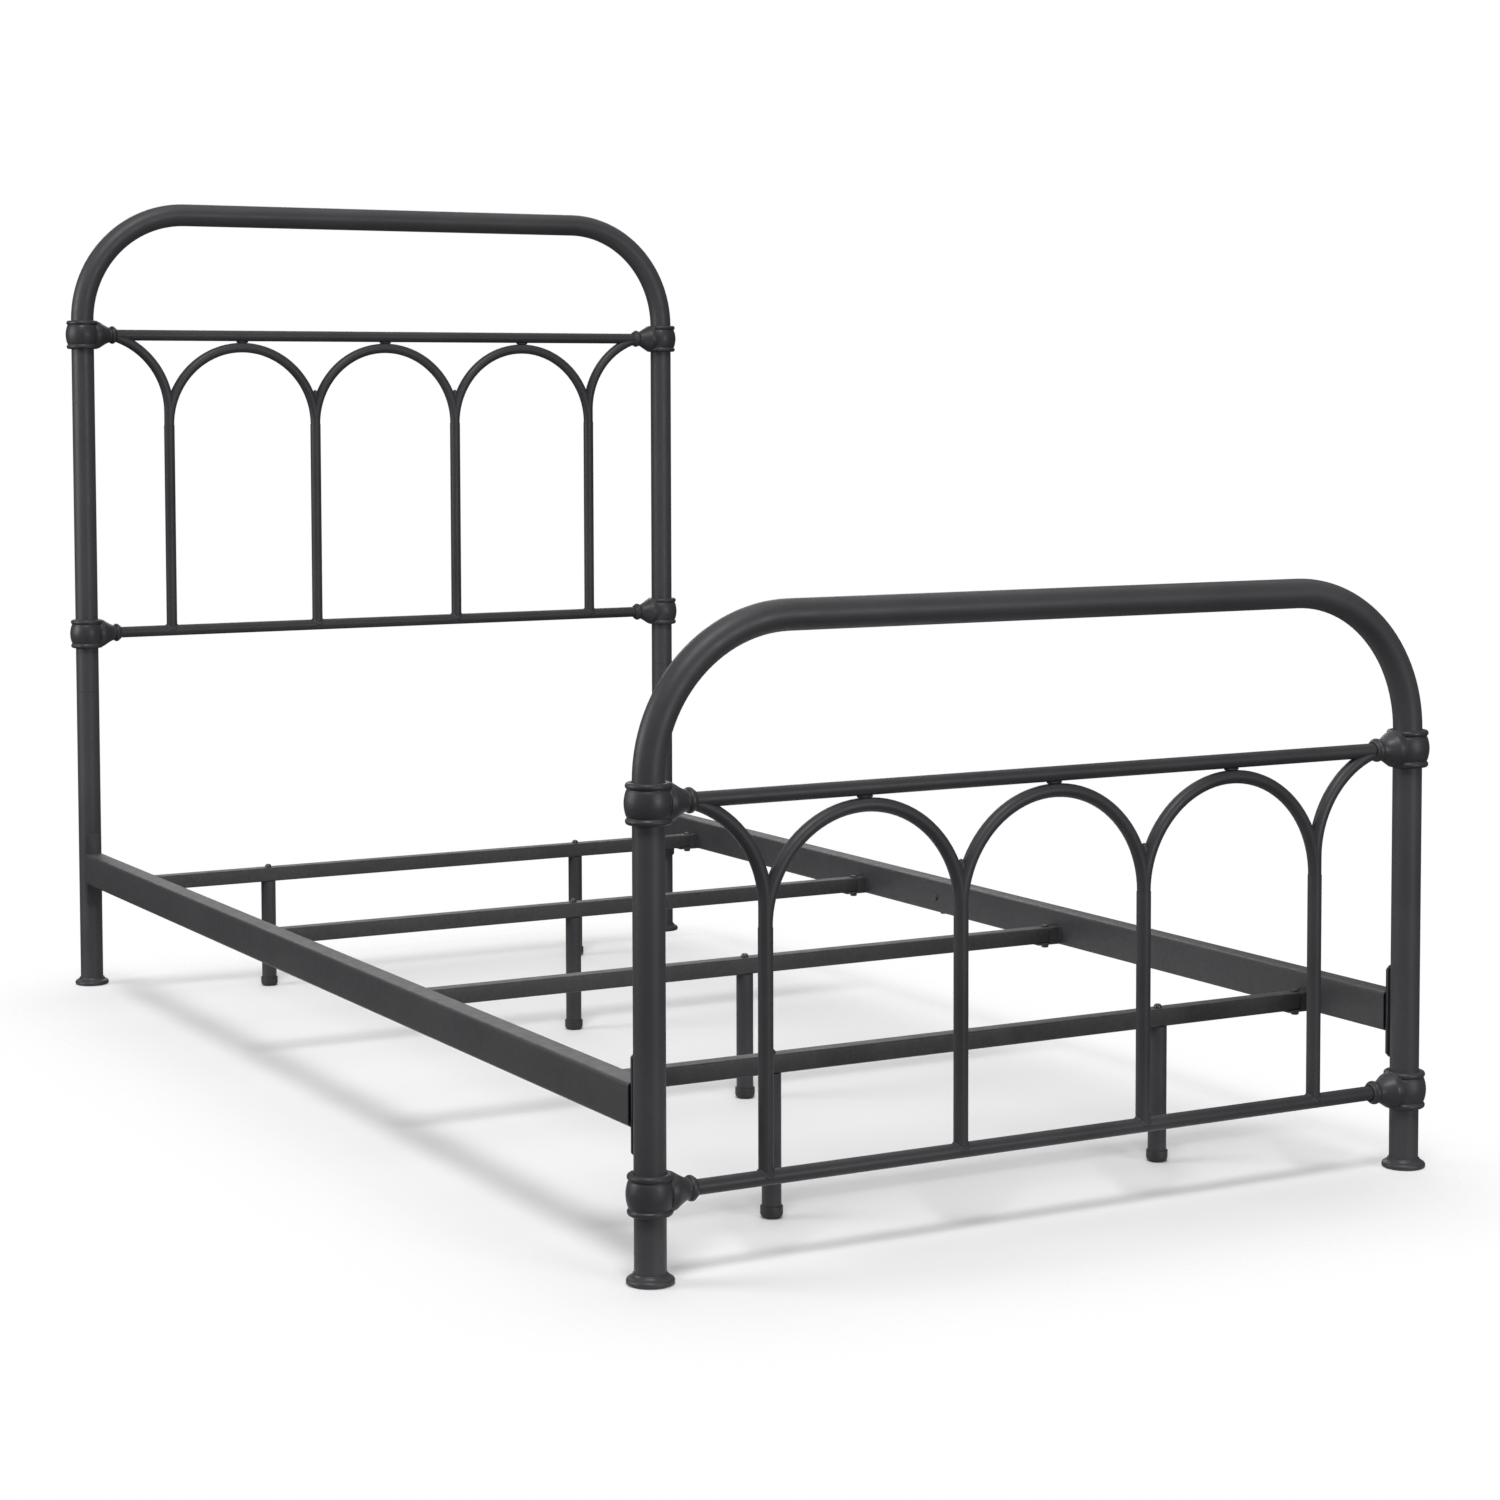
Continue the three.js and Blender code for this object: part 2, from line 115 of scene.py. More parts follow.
def noise(group, grains_per_metre, detail, roughness=0.5):
    place = group.nodes.new("ShaderNodeTexCoord")
    grain = group.nodes.new("ShaderNodeTexNoise")
    grain.inputs["Scale"].default_value = grains_per_metre
    grain.inputs["Detail"].default_value = detail
    grain.inputs["Roughness"].default_value = roughness
    group.links.new(place.outputs["Object"], grain.inputs["Vector"])
    return grain.outputs["Fac"]


def feed(group, socket, value):
    """A number is typed into the socket; anything else is wired to it."""
    if isinstance(value, (int, float)):
        socket.default_value = value
    else:
        group.links.new(value, socket)


def maths(group, operation, first, second, clamp=False):
    node = group.nodes.new("ShaderNodeMath")
    node.operation = operation
    node.use_clamp = clamp
    feed(group, node.inputs[0], first)
    feed(group, node.inputs[1], second)
    return node.outputs[0]


def remap(group, value, low, high, new_low, new_high):
    node = group.nodes.new("ShaderNodeMapRange")
    labels = ("Value", "From Min", "From Max", "To Min", "To Max")
    for label, number in zip(labels, (value, low, high, new_low, new_high)):
        feed(group, node.inputs[label], number)
    return node.outputs["Result"]


def tint(group, amount, first, second):
    node = group.nodes.new("ShaderNodeMix")
    node.data_type = "RGBA"
    group.links.new(amount, node.inputs["Factor"])
    for label, colour in (("A", first), ("B", second)):
        socket = [s for s in node.inputs if s.name == label and s.type == "RGBA"][0]
        group.links.new(colour, socket)
    return [s for s in node.outputs if s.type == "RGBA"][0]


print("node helpers ready")

# %% [markdown]
# ## Effect 1: sprayed skin
#
# Sprayed iron is never one flat grey. The tone drifts a little along each bar with a fine speckle
# in it, and the wet paint draws up into a faint orange-peel skin. One node group makes all
# three from noises of different grain, and each finish sets its own two tones and roughness.


# %% Make the sprayed skin
def sprayed_skin():
    group, given, result = new_effect(
        "sprayed skin",
        [("Light tone", "NodeSocketColor", (0.05, 0.05, 0.05, 1)),
         ("Dark tone", "NodeSocketColor", (0.02, 0.02, 0.02, 1)),
         ("Smoothest", "NodeSocketFloat", 0.35),
         ("Roughest", "NodeSocketFloat", 0.5)],
        [("Color", "NodeSocketColor"), ("Roughness", "NodeSocketFloat"), ("Height", "NodeSocketFloat")],
    )
    drift = noise(group, 7.0, 4.0)
    speckle = noise(group, 420.0, 3.0, 0.6)
    peel = noise(group, 650.0, 2.0)
    flow = noise(group, 60.0, 2.0)
    broad, fine = maths(group, "MULTIPLY", drift, 0.75), maths(group, "MULTIPLY", speckle, 0.25)
    shade = maths(group, "ADD", broad, fine)
    amount = remap(group, shade, 0.38, 0.62, 0.0, 1.0)
    tone = tint(group, amount, given.outputs["Dark tone"], given.outputs["Light tone"])
    sheen = remap(group, flow, 0.3, 0.7, given.outputs["Smoothest"], given.outputs["Roughest"])
    height = maths(group, "ADD", peel, maths(group, "MULTIPLY", flow, 1.6))
    for label, value in (("Color", tone), ("Roughness", sheen), ("Height", height)):
        group.links.new(value, result.inputs[label])
    return group


SPRAYED_SKIN = sprayed_skin()
print("effect built:", SPRAYED_SKIN.name)

# %% [markdown]
# ## Effect 2: painted top light and rubbed, highlit high spots
#
# Surfaces that face up are painted lighter, as painted top light, and the high spots of a casting
# are painted lighter too: partly rubbed paint, partly a painted highlight. The normal's Z tells
# which way a surface faces, and Pointiness tells a ridge from a hollow. Both masks are broken up
# with noise, because an even mask looks like a decal.


# %% Make the painted top light and rub highlight
def painted_top_light_and_rub_highlight():
    group, given, result = new_effect(
        "painted top light and rub highlight",
        [("Color", "NodeSocketColor", (0.03, 0.03, 0.03, 1)),
         ("Roughness", "NodeSocketFloat", 0.4),
         ("Painted top light tone", "NodeSocketColor", (0.3, 0.29, 0.28, 1)),
         ("Painted top light", "NodeSocketFloat", 0.1),
         ("Rub and highlight tone", "NodeSocketColor", (0.16, 0.155, 0.15, 1)),
         ("Rub and highlight", "NodeSocketFloat", 0.3)],
        [("Color", "NodeSocketColor"), ("Roughness", "NodeSocketFloat")],
    )
    surface = group.nodes.new("ShaderNodeNewGeometry")
    split = group.nodes.new("ShaderNodeSeparateXYZ")
    group.links.new(surface.outputs["Normal"], split.inputs["Vector"])
    # Painted top light: faces that point up get a lighter tone and a little more roughness.
    facing_up = remap(group, split.outputs["Z"], 0.55, 1.0, 0.0, 1.0)
    patches = remap(group, noise(group, 45.0, 5.0, 0.65), 0.35, 0.7, 0.25, 1.0)
    top_light_amount = maths(group, "MULTIPLY", maths(group, "MULTIPLY", facing_up, patches), given.outputs["Painted top light"])
    # Ridges are painted lighter: partly rubbed paint, partly a painted highlight on the rims.
    high_spots = remap(group, surface.outputs["Pointiness"], 0.515, 0.56, 0.0, 1.0)
    scuff_and_glint_breakup = remap(group, noise(group, 160.0, 4.0, 0.7), 0.42, 0.62, 0.0, 1.0)
    rubbed_and_highlit = maths(group, "MULTIPLY", maths(group, "MULTIPLY", high_spots, scuff_and_glint_breakup), given.outputs["Rub and highlight"])
    top_lit_colour = tint(group, top_light_amount, given.outputs["Color"], given.outputs["Painted top light tone"])
    worn_and_highlit = tint(group, rubbed_and_highlit, top_lit_colour, given.outputs["Rub and highlight tone"])
    rougher = maths(group, "ADD", given.outputs["Roughness"], maths(group, "MULTIPLY", top_light_amount, 0.5))
    sheen = maths(group, "SUBTRACT", rougher, maths(group, "MULTIPLY", rubbed_and_highlit, 0.15), True)
    group.links.new(worn_and_highlit, result.inputs["Color"])
    group.links.new(sheen, result.inputs["Roughness"])
    return group


PAINTED_TOP_LIGHT_AND_RUB_HIGHLIGHT = painted_top_light_and_rub_highlight()
print("effect built:", PAINTED_TOP_LIGHT_AND_RUB_HIGHLIGHT.name)

# %% [markdown]
# ## Seven finishes from the two effects
#
# Post tube, castings, round bar, rails, slats, caps and bolts all wear nearly the same charcoal,
# but cast iron is grainier, drawn bar is smoother, and plastic has no sheen of enamel. Each
# finish is a Principled shader: the base colour, roughness and normal come from the effects,
# and the gloss, which is the same all over, stays on the shader's own socket.


# %% Make the finishes
SKIN_STRENGTH = 0.22


def paint(name, light, dark, smooth, rough, skin_depth, painted_top_light, rub_and_highlight, gloss):
    material = bpy.data.materials.new(name)
    material.use_nodes = True
    tree = material.node_tree
    shader = tree.nodes["Principled BSDF"]
    skin = tree.nodes.new("ShaderNodeGroup")
    skin.node_tree = SPRAYED_SKIN
    skin.inputs["Light tone"].default_value = (*light, 1)
    skin.inputs["Dark tone"].default_value = (*dark, 1)
    skin.inputs["Smoothest"].default_value = smooth
    skin.inputs["Roughest"].default_value = rough
    wear = tree.nodes.new("ShaderNodeGroup")
    wear.node_tree = PAINTED_TOP_LIGHT_AND_RUB_HIGHLIGHT
    wear.inputs["Painted top light"].default_value = painted_top_light
    wear.inputs["Rub and highlight"].default_value = rub_and_highlight
    bump = tree.nodes.new("ShaderNodeBump")
    bump.inputs["Strength"].default_value = SKIN_STRENGTH
    bump.inputs["Distance"].default_value = skin_depth
    tree.links.new(skin.outputs["Color"], wear.inputs["Color"])
    tree.links.new(skin.outputs["Roughness"], wear.inputs["Roughness"])
    tree.links.new(wear.outputs["Color"], shader.inputs["Base Color"])
    tree.links.new(wear.outputs["Roughness"], shader.inputs["Roughness"])
    tree.links.new(skin.outputs["Height"], bump.inputs["Height"])
    tree.links.new(bump.outputs["Normal"], shader.inputs["Normal"])
    shader.inputs["Metallic"].default_value = 0.0
    shader.inputs["Specular IOR Level"].default_value = gloss
    material.diffuse_color = (*dark, 1)
    return material


# The top light and rub amounts set how much painted top light and painted ridge highlight each finish
# gets.
TUBE_PAINT = paint("tube paint", light=(0.047, 0.046, 0.050), dark=(0.038, 0.037, 0.041),
                   smooth=0.40, rough=0.50, skin_depth=0.12 * MM, painted_top_light=0.06, rub_and_highlight=0.0, gloss=0.22)
CAST_PAINT = paint("cast iron paint", light=(0.037, 0.037, 0.041), dark=(0.024, 0.024, 0.027),
                   smooth=0.38, rough=0.52, skin_depth=0.35 * MM, painted_top_light=0.06, rub_and_highlight=0.35, gloss=0.28)
BAR_PAINT = paint("bar paint", light=(0.037, 0.036, 0.040), dark=(0.027, 0.026, 0.030),
                  smooth=0.40, rough=0.50, skin_depth=0.12 * MM, painted_top_light=0.05, rub_and_highlight=0.0, gloss=0.22)
RAIL_PAINT = paint("rail paint", light=(0.032, 0.032, 0.035), dark=(0.025, 0.025, 0.028),
                   smooth=0.42, rough=0.50, skin_depth=0.14 * MM, painted_top_light=0.12, rub_and_highlight=0.05, gloss=0.38)
# Painted shade: the same paint as the rails, made darker to stand for the shade between the rails.
SLAT_PAINT_WITH_PAINTED_SHADE = paint("slat paint with painted shade", light=(0.025, 0.025, 0.027), dark=(0.018, 0.018, 0.020),
                   smooth=0.42, rough=0.50, skin_depth=0.14 * MM, painted_top_light=0.12, rub_and_highlight=0.05, gloss=0.34)
CAP_PLASTIC = paint("cap plastic", light=(0.018, 0.018, 0.018), dark=(0.011, 0.011, 0.011),
                    smooth=0.50, rough=0.62, skin_depth=0.10 * MM, painted_top_light=0.05, rub_and_highlight=0.0, gloss=0.40)
BOLT_PAINT = paint("bolt paint", light=(0.026, 0.026, 0.028), dark=(0.015, 0.015, 0.016),
                   smooth=0.34, rough=0.46, skin_depth=0.10 * MM, painted_top_light=0.12, rub_and_highlight=0.30, gloss=0.50)
print("finishes:", [m.name for m in bpy.data.materials])

# %% [markdown]
# ## Finishing a piece
#
# Every piece ends the same way: doubled points are merged, normals turned outward, the mesh is
# smoothed except at real edges, it is hung on the root body, and the CAD node it stands for is
# hidden. Tube gets its wall here too. The wall could stay a live modifier, but then the rim is
# smoothed together with the long sides and shades the whole length, so it is applied before sharp edges
# are marked.

# %% The finishing bench
SAME_POINT = 0.002 * MM
SOFT_EDGE_DEGREES = 38.0


def finish_piece(bm, name, finish, stands_for=(), wall=0.0, sharp=SOFT_EDGE_DEGREES):
    bmesh.ops.remove_doubles(bm, verts=bm.verts, dist=SAME_POINT)
    bmesh.ops.recalc_face_normals(bm, faces=bm.faces)
    mesh = bpy.data.meshes.new(name)
    bm.to_mesh(mesh)
    bm.free()
    piece = bpy.data.objects.new(name, mesh)
    bpy.context.scene.collection.objects.link(piece)
    if wall:
        mesh = add_wall(piece, mesh, wall)
    mesh.shade_smooth()
    mesh.set_sharp_from_angle(angle=math.radians(sharp))
    mesh.materials.append(finish)
    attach(piece, "root")
    if stands_for:
        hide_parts(*stands_for)
    return piece


def add_wall(piece, mesh, wall):
    thick = piece.modifiers.new("tube wall", "SOLIDIFY")
    thick.thickness = wall
    thick.offset = -1.0
    walled = piece.evaluated_get(bpy.context.evaluated_depsgraph_get())
    piece.data = bpy.data.meshes.new_from_object(walled)
    piece.modifiers.clear()
    bpy.data.meshes.remove(mesh)
    piece.data.name = piece.name
    return piece.data


def size_text(piece):
    return [round(length, 4) for length in piece.dimensions]


print("edges softer than", SOFT_EDGE_DEGREES, "degrees are smoothed")

# %% [markdown]
# ## Bending bar
#
# The hoops and arches are straight bar pushed round a former. A mesh can be made the same way:
# start with one ring of points, extrude it for a straight run, and spin it about the former's
# centre for a bend. The alternative, a curve with a bevel, gives less control over where the
# rings fall, and has no clean open end for a tube.

# %% Bar bending tools
UP = Vector((0, 0, 1))
RIGHT = Vector((1, 0, 0))
LYING = Matrix.Rotation(math.pi / 2, 4, "Y")


def once_each(parts):
    """Drops repeats and, unlike a set, keeps the order in which the parts were met."""
    return list(dict.fromkeys(parts))


def ring(bm, centre, radius, sides, turn=Matrix()):
    made = bmesh.ops.create_circle(
        bm, cap_ends=False, radius=radius, segments=sides, matrix=Matrix.Translation(centre) @ turn
    )
    return once_each(edge for vert in made["verts"] for edge in vert.link_edges)


def push(bm, edges, step):
    made = bmesh.ops.extrude_edge_only(bm, edges=edges)["geom"]
    verts = [part for part in made if isinstance(part, bmesh.types.BMVert)]
    bmesh.ops.translate(bm, verts=verts, vec=step)
    fresh = set(verts)
    return [part for part in made
            if isinstance(part, bmesh.types.BMEdge) and fresh.issuperset(part.verts)]


def scale_ring(bm, edges, factor):
    verts = once_each(vert for edge in edges for vert in edge.verts)
    centre = sum((vert.co for vert in verts), Vector()) / len(verts)
    bmesh.ops.scale(bm, verts=verts, vec=(factor, factor, factor), space=Matrix.Translation(-centre))
    return edges


def bend(bm, edges, former, degrees, steps):
    """Bends towards +X for positive degrees when the bar is heading up."""
    verts = once_each(vert for edge in edges for vert in edge.verts)
    made = bmesh.ops.spin(
        bm, geom=edges + verts, cent=former, axis=(0, 1, 0), dvec=(0, 0, 0),
        angle=math.radians(degrees), steps=steps, use_merge=False, use_duplicate=False,
    )["geom_last"]
    return [part for part in made if isinstance(part, bmesh.types.BMEdge)]


def cap(bm, edges):
    bmesh.ops.edgeloop_fill(bm, edges=edges)


print("tools: once_each, ring, push, scale_ring, bend, cap")

# %% [markdown]
# ## The two hoops
#
# Each end is one length of tube: up a post, round a wide bend, across, and down the other post.
# The head hoop stops at a seam half way down, so the bed can be shipped, and stands on separate
# legs. The tube keeps a real wall, because its lower ends are open.

# %% Bend the hoops
TUBE_WALL = 1.5 * MM
TUBE_SIDES = 48
HOOP_BEND = 172 * MM
BEND_STEPS = 28


def make_hoop(end):
    node = f"{end}_hoop_tube"
    low, high = box_of(node)
    y = END_Y[end]
    shoulder = high.z - POST_R - HOOP_BEND
    bm = bmesh.new()
    tube = ring(bm, (-POST_X, y, low.z), POST_R, TUBE_SIDES)
    tube = push(bm, tube, UP * (shoulder - low.z))
    tube = bend(bm, tube, (HOOP_BEND - POST_X, y, shoulder), 90, BEND_STEPS)
    tube = push(bm, tube, RIGHT * (2 * (POST_X - HOOP_BEND)))
    tube = bend(bm, tube, (POST_X - HOOP_BEND, y, shoulder), 90, BEND_STEPS)
    push(bm, tube, -UP * (shoulder - low.z))
    return finish_piece(bm, f"{end}_hoop", TUBE_PAINT, [node], TUBE_WALL)


for end in ENDS:
    hoop = make_hoop(end)
    print(hoop.name, len(hoop.data.polygons), "faces, box", size_text(hoop))

# %% [markdown]
# ## Head legs
#
# Below the seam each headboard post is a separate leg. The cut end is filed to a small chamfer,
# which catches light as a thin line, and a reduced spigot runs up inside the hoop tube. The
# ring is pushed and scaled step by step, as a tube end is swaged in a press.

# %% Make the head legs
SEAM_CHAMFER = 0.7 * MM
SPIGOT_SHOULDER = 0.1 * MM
SPIGOT_SLACK = 0.4 * MM
SPIGOT_WALL = 1.2 * MM
SEAM_SHARP_DEGREES = 25


def make_head_leg(side):
    node = f"head_leg_tube_{side}"
    low, high = box_of(node)
    centre = middle(node)
    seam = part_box("head_hoop_tube")[0][2]
    spigot = (POST_R - TUBE_WALL - SPIGOT_SLACK) / POST_R
    bm = bmesh.new()
    tube = ring(bm, (centre.x, centre.y, low.z), POST_R, TUBE_SIDES)
    tube = push(bm, tube, UP * (seam - SEAM_CHAMFER - low.z))
    tube = scale_ring(bm, push(bm, tube, UP * SEAM_CHAMFER), 1 - SEAM_CHAMFER / POST_R)
    tube = scale_ring(bm, push(bm, tube, UP * SPIGOT_SHOULDER), spigot)
    push(bm, tube, UP * (high.z - seam))
    return finish_piece(bm, f"head_leg_{side}", TUBE_PAINT, [node], SPIGOT_WALL,
                        SEAM_SHARP_DEGREES)


for side in SIDES:
    print(make_head_leg(side).name)

# %% [markdown]
# ## Turned shapes
#
# Floor flanges, collars, caps and bolt heads are all turned: one outline spun round an axis. The
# outline is drawn with a few points, its corners are rounded with a vertex bevel, and spin does
# the rest. That gives rounder edges than a primitive cylinder, with few points to look after.

# %% The turning tool
CORNER_STEPS = 5


def outline(bm, points, rounds, closed):
    """Points are (radius, height) in mm; rounds gives the corner radius at each point, in mm."""
    verts = [bm.verts.new((radius * MM, 0, height * MM)) for radius, height in points]
    pairs = list(zip(verts, verts[1:] + verts[:1])) if closed else list(zip(verts, verts[1:]))
    for pair in pairs:
        bm.edges.new(pair)
    for size in sorted(set(rounds) - {0}):
        corners = [vert for vert, amount in zip(verts, rounds) if amount == size]
        bmesh.ops.bevel(
            bm, geom=corners, offset=size * MM, offset_type="OFFSET", segments=CORNER_STEPS,
            profile=0.5, affect="VERTICES", material=-1,
        )


def turned(points, rounds, sides, closed=True):
    bm = bmesh.new()
    outline(bm, points, rounds, closed)
    bmesh.ops.spin(
        bm, geom=bm.verts[:] + bm.edges[:], cent=(0, 0, 0), axis=(0, 0, 1), dvec=(0, 0, 0),
        angle=2 * math.pi, steps=sides, use_merge=True, use_duplicate=False,
    )
    bmesh.ops.remove_doubles(bm, verts=bm.verts, dist=SAME_POINT)
    return bm


def place(bm, at, turn=Matrix()):
    bmesh.ops.transform(bm, matrix=Matrix.Translation(at) @ turn, verts=bm.verts)
    return bm


print("turning tool: each rounded corner has", CORNER_STEPS, "steps")

# %% [markdown]
# ## Floor flanges
#
# Each post flares into a small bell that spreads its load on the floor: a rounded rim with a
# hollow sweep up to the tube. The socket inside is open, so the post can drop into it. It could
# be a cone, but the sweep is what makes it read as cast iron.

# %% Turn the floor flanges
FLANGE_SIDES = 56


def make_flange(end, side):
    node = f"{end}_floor_flange_{side}"
    centre = middle(node)
    rim = extent(node).y / 2 / MM
    top = extent(node).z / MM
    post = POST_R / MM
    bore = post + FIT_GAP / MM
    bm = turned(
        [(0, 0), (rim, 0), (rim, 5.6), (rim - 2.6, 7.2), (post + 3.0, 8.6), (post + 1.3, top),
         (bore, top), (bore, 3), (0, 3)],
        [0, 2.2, 2.0, 0.8, 2.4, 0.5, 0.3, 0, 0], FLANGE_SIDES, closed=False,
    )
    place(bm, (centre.x, centre.y, 0))
    return finish_piece(bm, f"{end}_flange_{side}", CAST_PAINT, [node], sharp=45)


for end in ENDS:
    for side in SIDES:
        flange = make_flange(end, side)
print("flange faces:", len(flange.data.polygons))

# %% [markdown]
# ## Cast joints
#
# The joint is iron poured round the post: a rolled collar above and below, a ball between them,
# and a trumpet that narrows to a bead where the cross rod enters. Both are turned shapes, so
# each is drawn first as a half outline, with a corner radius for every point.

# %% Draw the casting's outlines
CAST_HALF = extent("foot_casting_upper_left").z / 2 / MM
BALL_R = extent("foot_casting_upper_left").y / 2 / MM


def collar_outline():
    bore = POST_R / MM + 0.2
    top = CAST_HALF
    upper = [
        (bore, 0), (bore, top), (23.0, top), (25.2, top - 2.0), (25.2, top - 5.6),
        (22.9, top - 7.2), (24.3, top - 9.4), (BALL_R - 0.2, top - 16.5),
    ]
    rounds = [0, 0.8, 1.4, 1.9, 1.4, 0.5, 1.2, 4.0]
    lower = [(radius, -height) for radius, height in reversed(upper[1:])]
    return upper + [(BALL_R + 0.15, 0)] + lower, rounds + [5.0] + list(reversed(rounds[1:]))


def trumpet_outline():
    bore = ROD_R / MM + 0.25
    points = [
        (bore, 17.9), (22.0, 17.9), (21.9, 25.5), (17.2, 33.0), (13.0, 40.3), (11.9, 44.8),
        (14.3, 46.4), (14.3, 51.4), (11.6, 52.6), (11.3, 55.0), (bore, 55.0),
    ]
    return points, [0, 0, 2.4, 3.0, 3.0, 0.8, 1.9, 1.9, 0.6, 0.8, 0.4]


print("collar points:", len(collar_outline()[0]), "trumpet points:", len(trumpet_outline()[0]))

# %% [markdown]
# ## The foundry pattern
#
# A casting has no sharp inside corners. A boolean would join the collars and the trumpet with a
# hard line, so the two are laid over each other and skinned as one with a fine voxel remesh. A
# little smoothing then leaves the soft fillets that molten iron leaves.

# %% Make the casting pattern
CASTING_GRAIN = 0.62 * MM
SOFTENING_PASSES = 8


def absorb(bm, other):
    """Moves everything in other into bm, with its faces turned outward first."""
    bmesh.ops.recalc_face_normals(other, faces=other.faces)
    loose = bpy.data.meshes.new("loose")
    other.to_mesh(loose)
    other.free()
    bm.from_mesh(loose)
    bpy.data.meshes.remove(loose)


def make_casting_pattern():
    both = bmesh.new()
    absorb(both, turned(*collar_outline(), sides=96))
    absorb(both, place(turned(*trumpet_outline(), sides=72), (0, 0, 0), LYING))
    mesh = bpy.data.meshes.new("casting pattern")
    both.to_mesh(mesh)
    both.free()
    pattern = bpy.data.objects.new("casting_pattern", mesh)
    bpy.context.scene.collection.objects.link(pattern)
    skin = pattern.modifiers.new("skin", "REMESH")
    skin.mode = "VOXEL"
    skin.voxel_size = CASTING_GRAIN
    soften = pattern.modifiers.new("soften", "SMOOTH")
    soften.factor = 0.5
    soften.iterations = SOFTENING_PASSES
    shape = bpy.data.meshes.new_from_object(pattern.evaluated_get(bpy.context.evaluated_depsgraph_get()))
    bpy.data.objects.remove(pattern)
    return shape


CASTING = make_casting_pattern()
print("casting pattern:", len(CASTING.polygons), "faces")

# %% [markdown]
# ## Pouring the joints
#
# All eight joints come from the one pattern, as they would in a foundry. Each gets its own copy
# of the mesh, turned so that its trumpet points at the rod, with its place in the mesh itself.

# %% Pour the eight castings
for end in ENDS:
    for level in LEVELS:
        for side, sign in SIDES.items():
            node = f"{end}_casting_{level}_{side}"
            bm = bmesh.new()
            bm.from_mesh(CASTING)
            facing = Matrix.Rotation(0 if sign < 0 else math.pi, 4, "Z")
            place(bm, (sign * POST_X, END_Y[end], ROD_Z[end, level]), facing)
            finish_piece(bm, f"{node}_iron", CAST_PAINT, [node], sharp=70)
            print("poured", node)

# %% [markdown]
# ## Cross rods and spindles
#
# The rods run from casting to casting and the spindles stand on the lower rod. Both are drawn
# bar, so a pushed ring with capped ends is all the shape they have; their joints are dressed
# with weld further down.

# %% Cut the rods and spindles
BAR_SIDES = 32


def straight_bar(bm, start, step, radius, turn=Matrix()):
    first = ring(bm, start, radius, BAR_SIDES, turn)
    last = push(bm, first, step)
    cap(bm, first)
    cap(bm, last)


def cut_rod(end, level):
    node = f"{end}_rod_{level}"
    low, high = box_of(node)
    bm = bmesh.new()
    straight_bar(bm, (low.x, END_Y[end], ROD_Z[end, level]), RIGHT * (high.x - low.x), ROD_R, LYING)
    finish_piece(bm, f"{node}_bar", BAR_PAINT, [node])


def cut_spindle(end, number, x):
    node = f"{end}_spindle_{number}"
    foot, head = ROD_Z[end, "lower"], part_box(node)[1][2]
    bm = bmesh.new()
    straight_bar(bm, (x, END_Y[end], foot), UP * (head - foot), SPINDLE_R)
    finish_piece(bm, f"{node}_bar", BAR_PAINT, [node])


for end in ENDS:
    for level in LEVELS:
        cut_rod(end, level)
    for number, x in enumerate(SPINDLE_X, 1):
        cut_spindle(end, number, x)
print("spindles at", [round(x, 3) for x in SPINDLE_X])

# %% [markdown]
# ## Arches and end arcs
#
# Three arches per board spring from the spindles, and at each side a longer arc leaves the outer
# spindle and runs into the upper rod beside the casting. They are the same bar bent round the
# same former, so both use the bending tools; only the straight lead and the angle differ.

# %% Bend the arches
ARCH_STEPS = 44
END_ARC_STEPS = 22
END_ARC_DROP = 123 * MM
STOPS_SHORT_DEGREES = 1.5


def spring_line(end):
    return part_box(f"{end}_spindle_1")[1][2]


def make_arch(end, number):
    node = f"{end}_arch_{number}"
    x, y, z = middle(node).x, END_Y[end], spring_line(end)
    bm = bmesh.new()
    first = ring(bm, (x - ARCH_R, y, z), BAR_R, BAR_SIDES)
    last = bend(bm, first, (x, y, z), 180, ARCH_STEPS)
    cap(bm, first)
    cap(bm, last)
    finish_piece(bm, f"{node}_bar", BAR_PAINT, [node])


def make_end_arc(end, side, sign):
    node = f"{end}_end_arc_{side}"
    x, y, z = sign * SPINDLE_X[3], END_Y[end], spring_line(end)
    former_z = ROD_Z[end, "upper"] - END_ARC_DROP
    angle = math.degrees(math.asin(END_ARC_DROP / ARCH_R)) - STOPS_SHORT_DEGREES
    bm = bmesh.new()
    first = ring(bm, (x, y, z), BAR_R, BAR_SIDES)
    last = push(bm, first, UP * (former_z - z))
    last = bend(bm, last, (x + sign * ARCH_R, y, former_z), sign * angle, END_ARC_STEPS)
    cap(bm, first)
    cap(bm, last)
    return finish_piece(bm, f"{node}_bar", BAR_PAINT, [node])


for end in ENDS:
    for number in ARCHES:
        make_arch(end, number)
    for side, sign in SIDES.items():
        arc = make_end_arc(end, side, sign)
        print(arc.name, size_text(arc))

# %% [markdown]
# ## Weld tools
#
# Bars meet with a fillet of weld that the paint has softened. Round a spindle's foot the bead
# rides over the lower rod like a saddle: it starts as a flat ring of weld at the rod's axis, and
# each point is then lifted to the rod's surface above it. Where bars only touch, the weld is a
# small blob squeezed out of a ball.

# %% The welding bench
RIPPLES = 9
RIPPLE_HEIGHT = 0.12
WIDEST_ON_ROD = 0.985


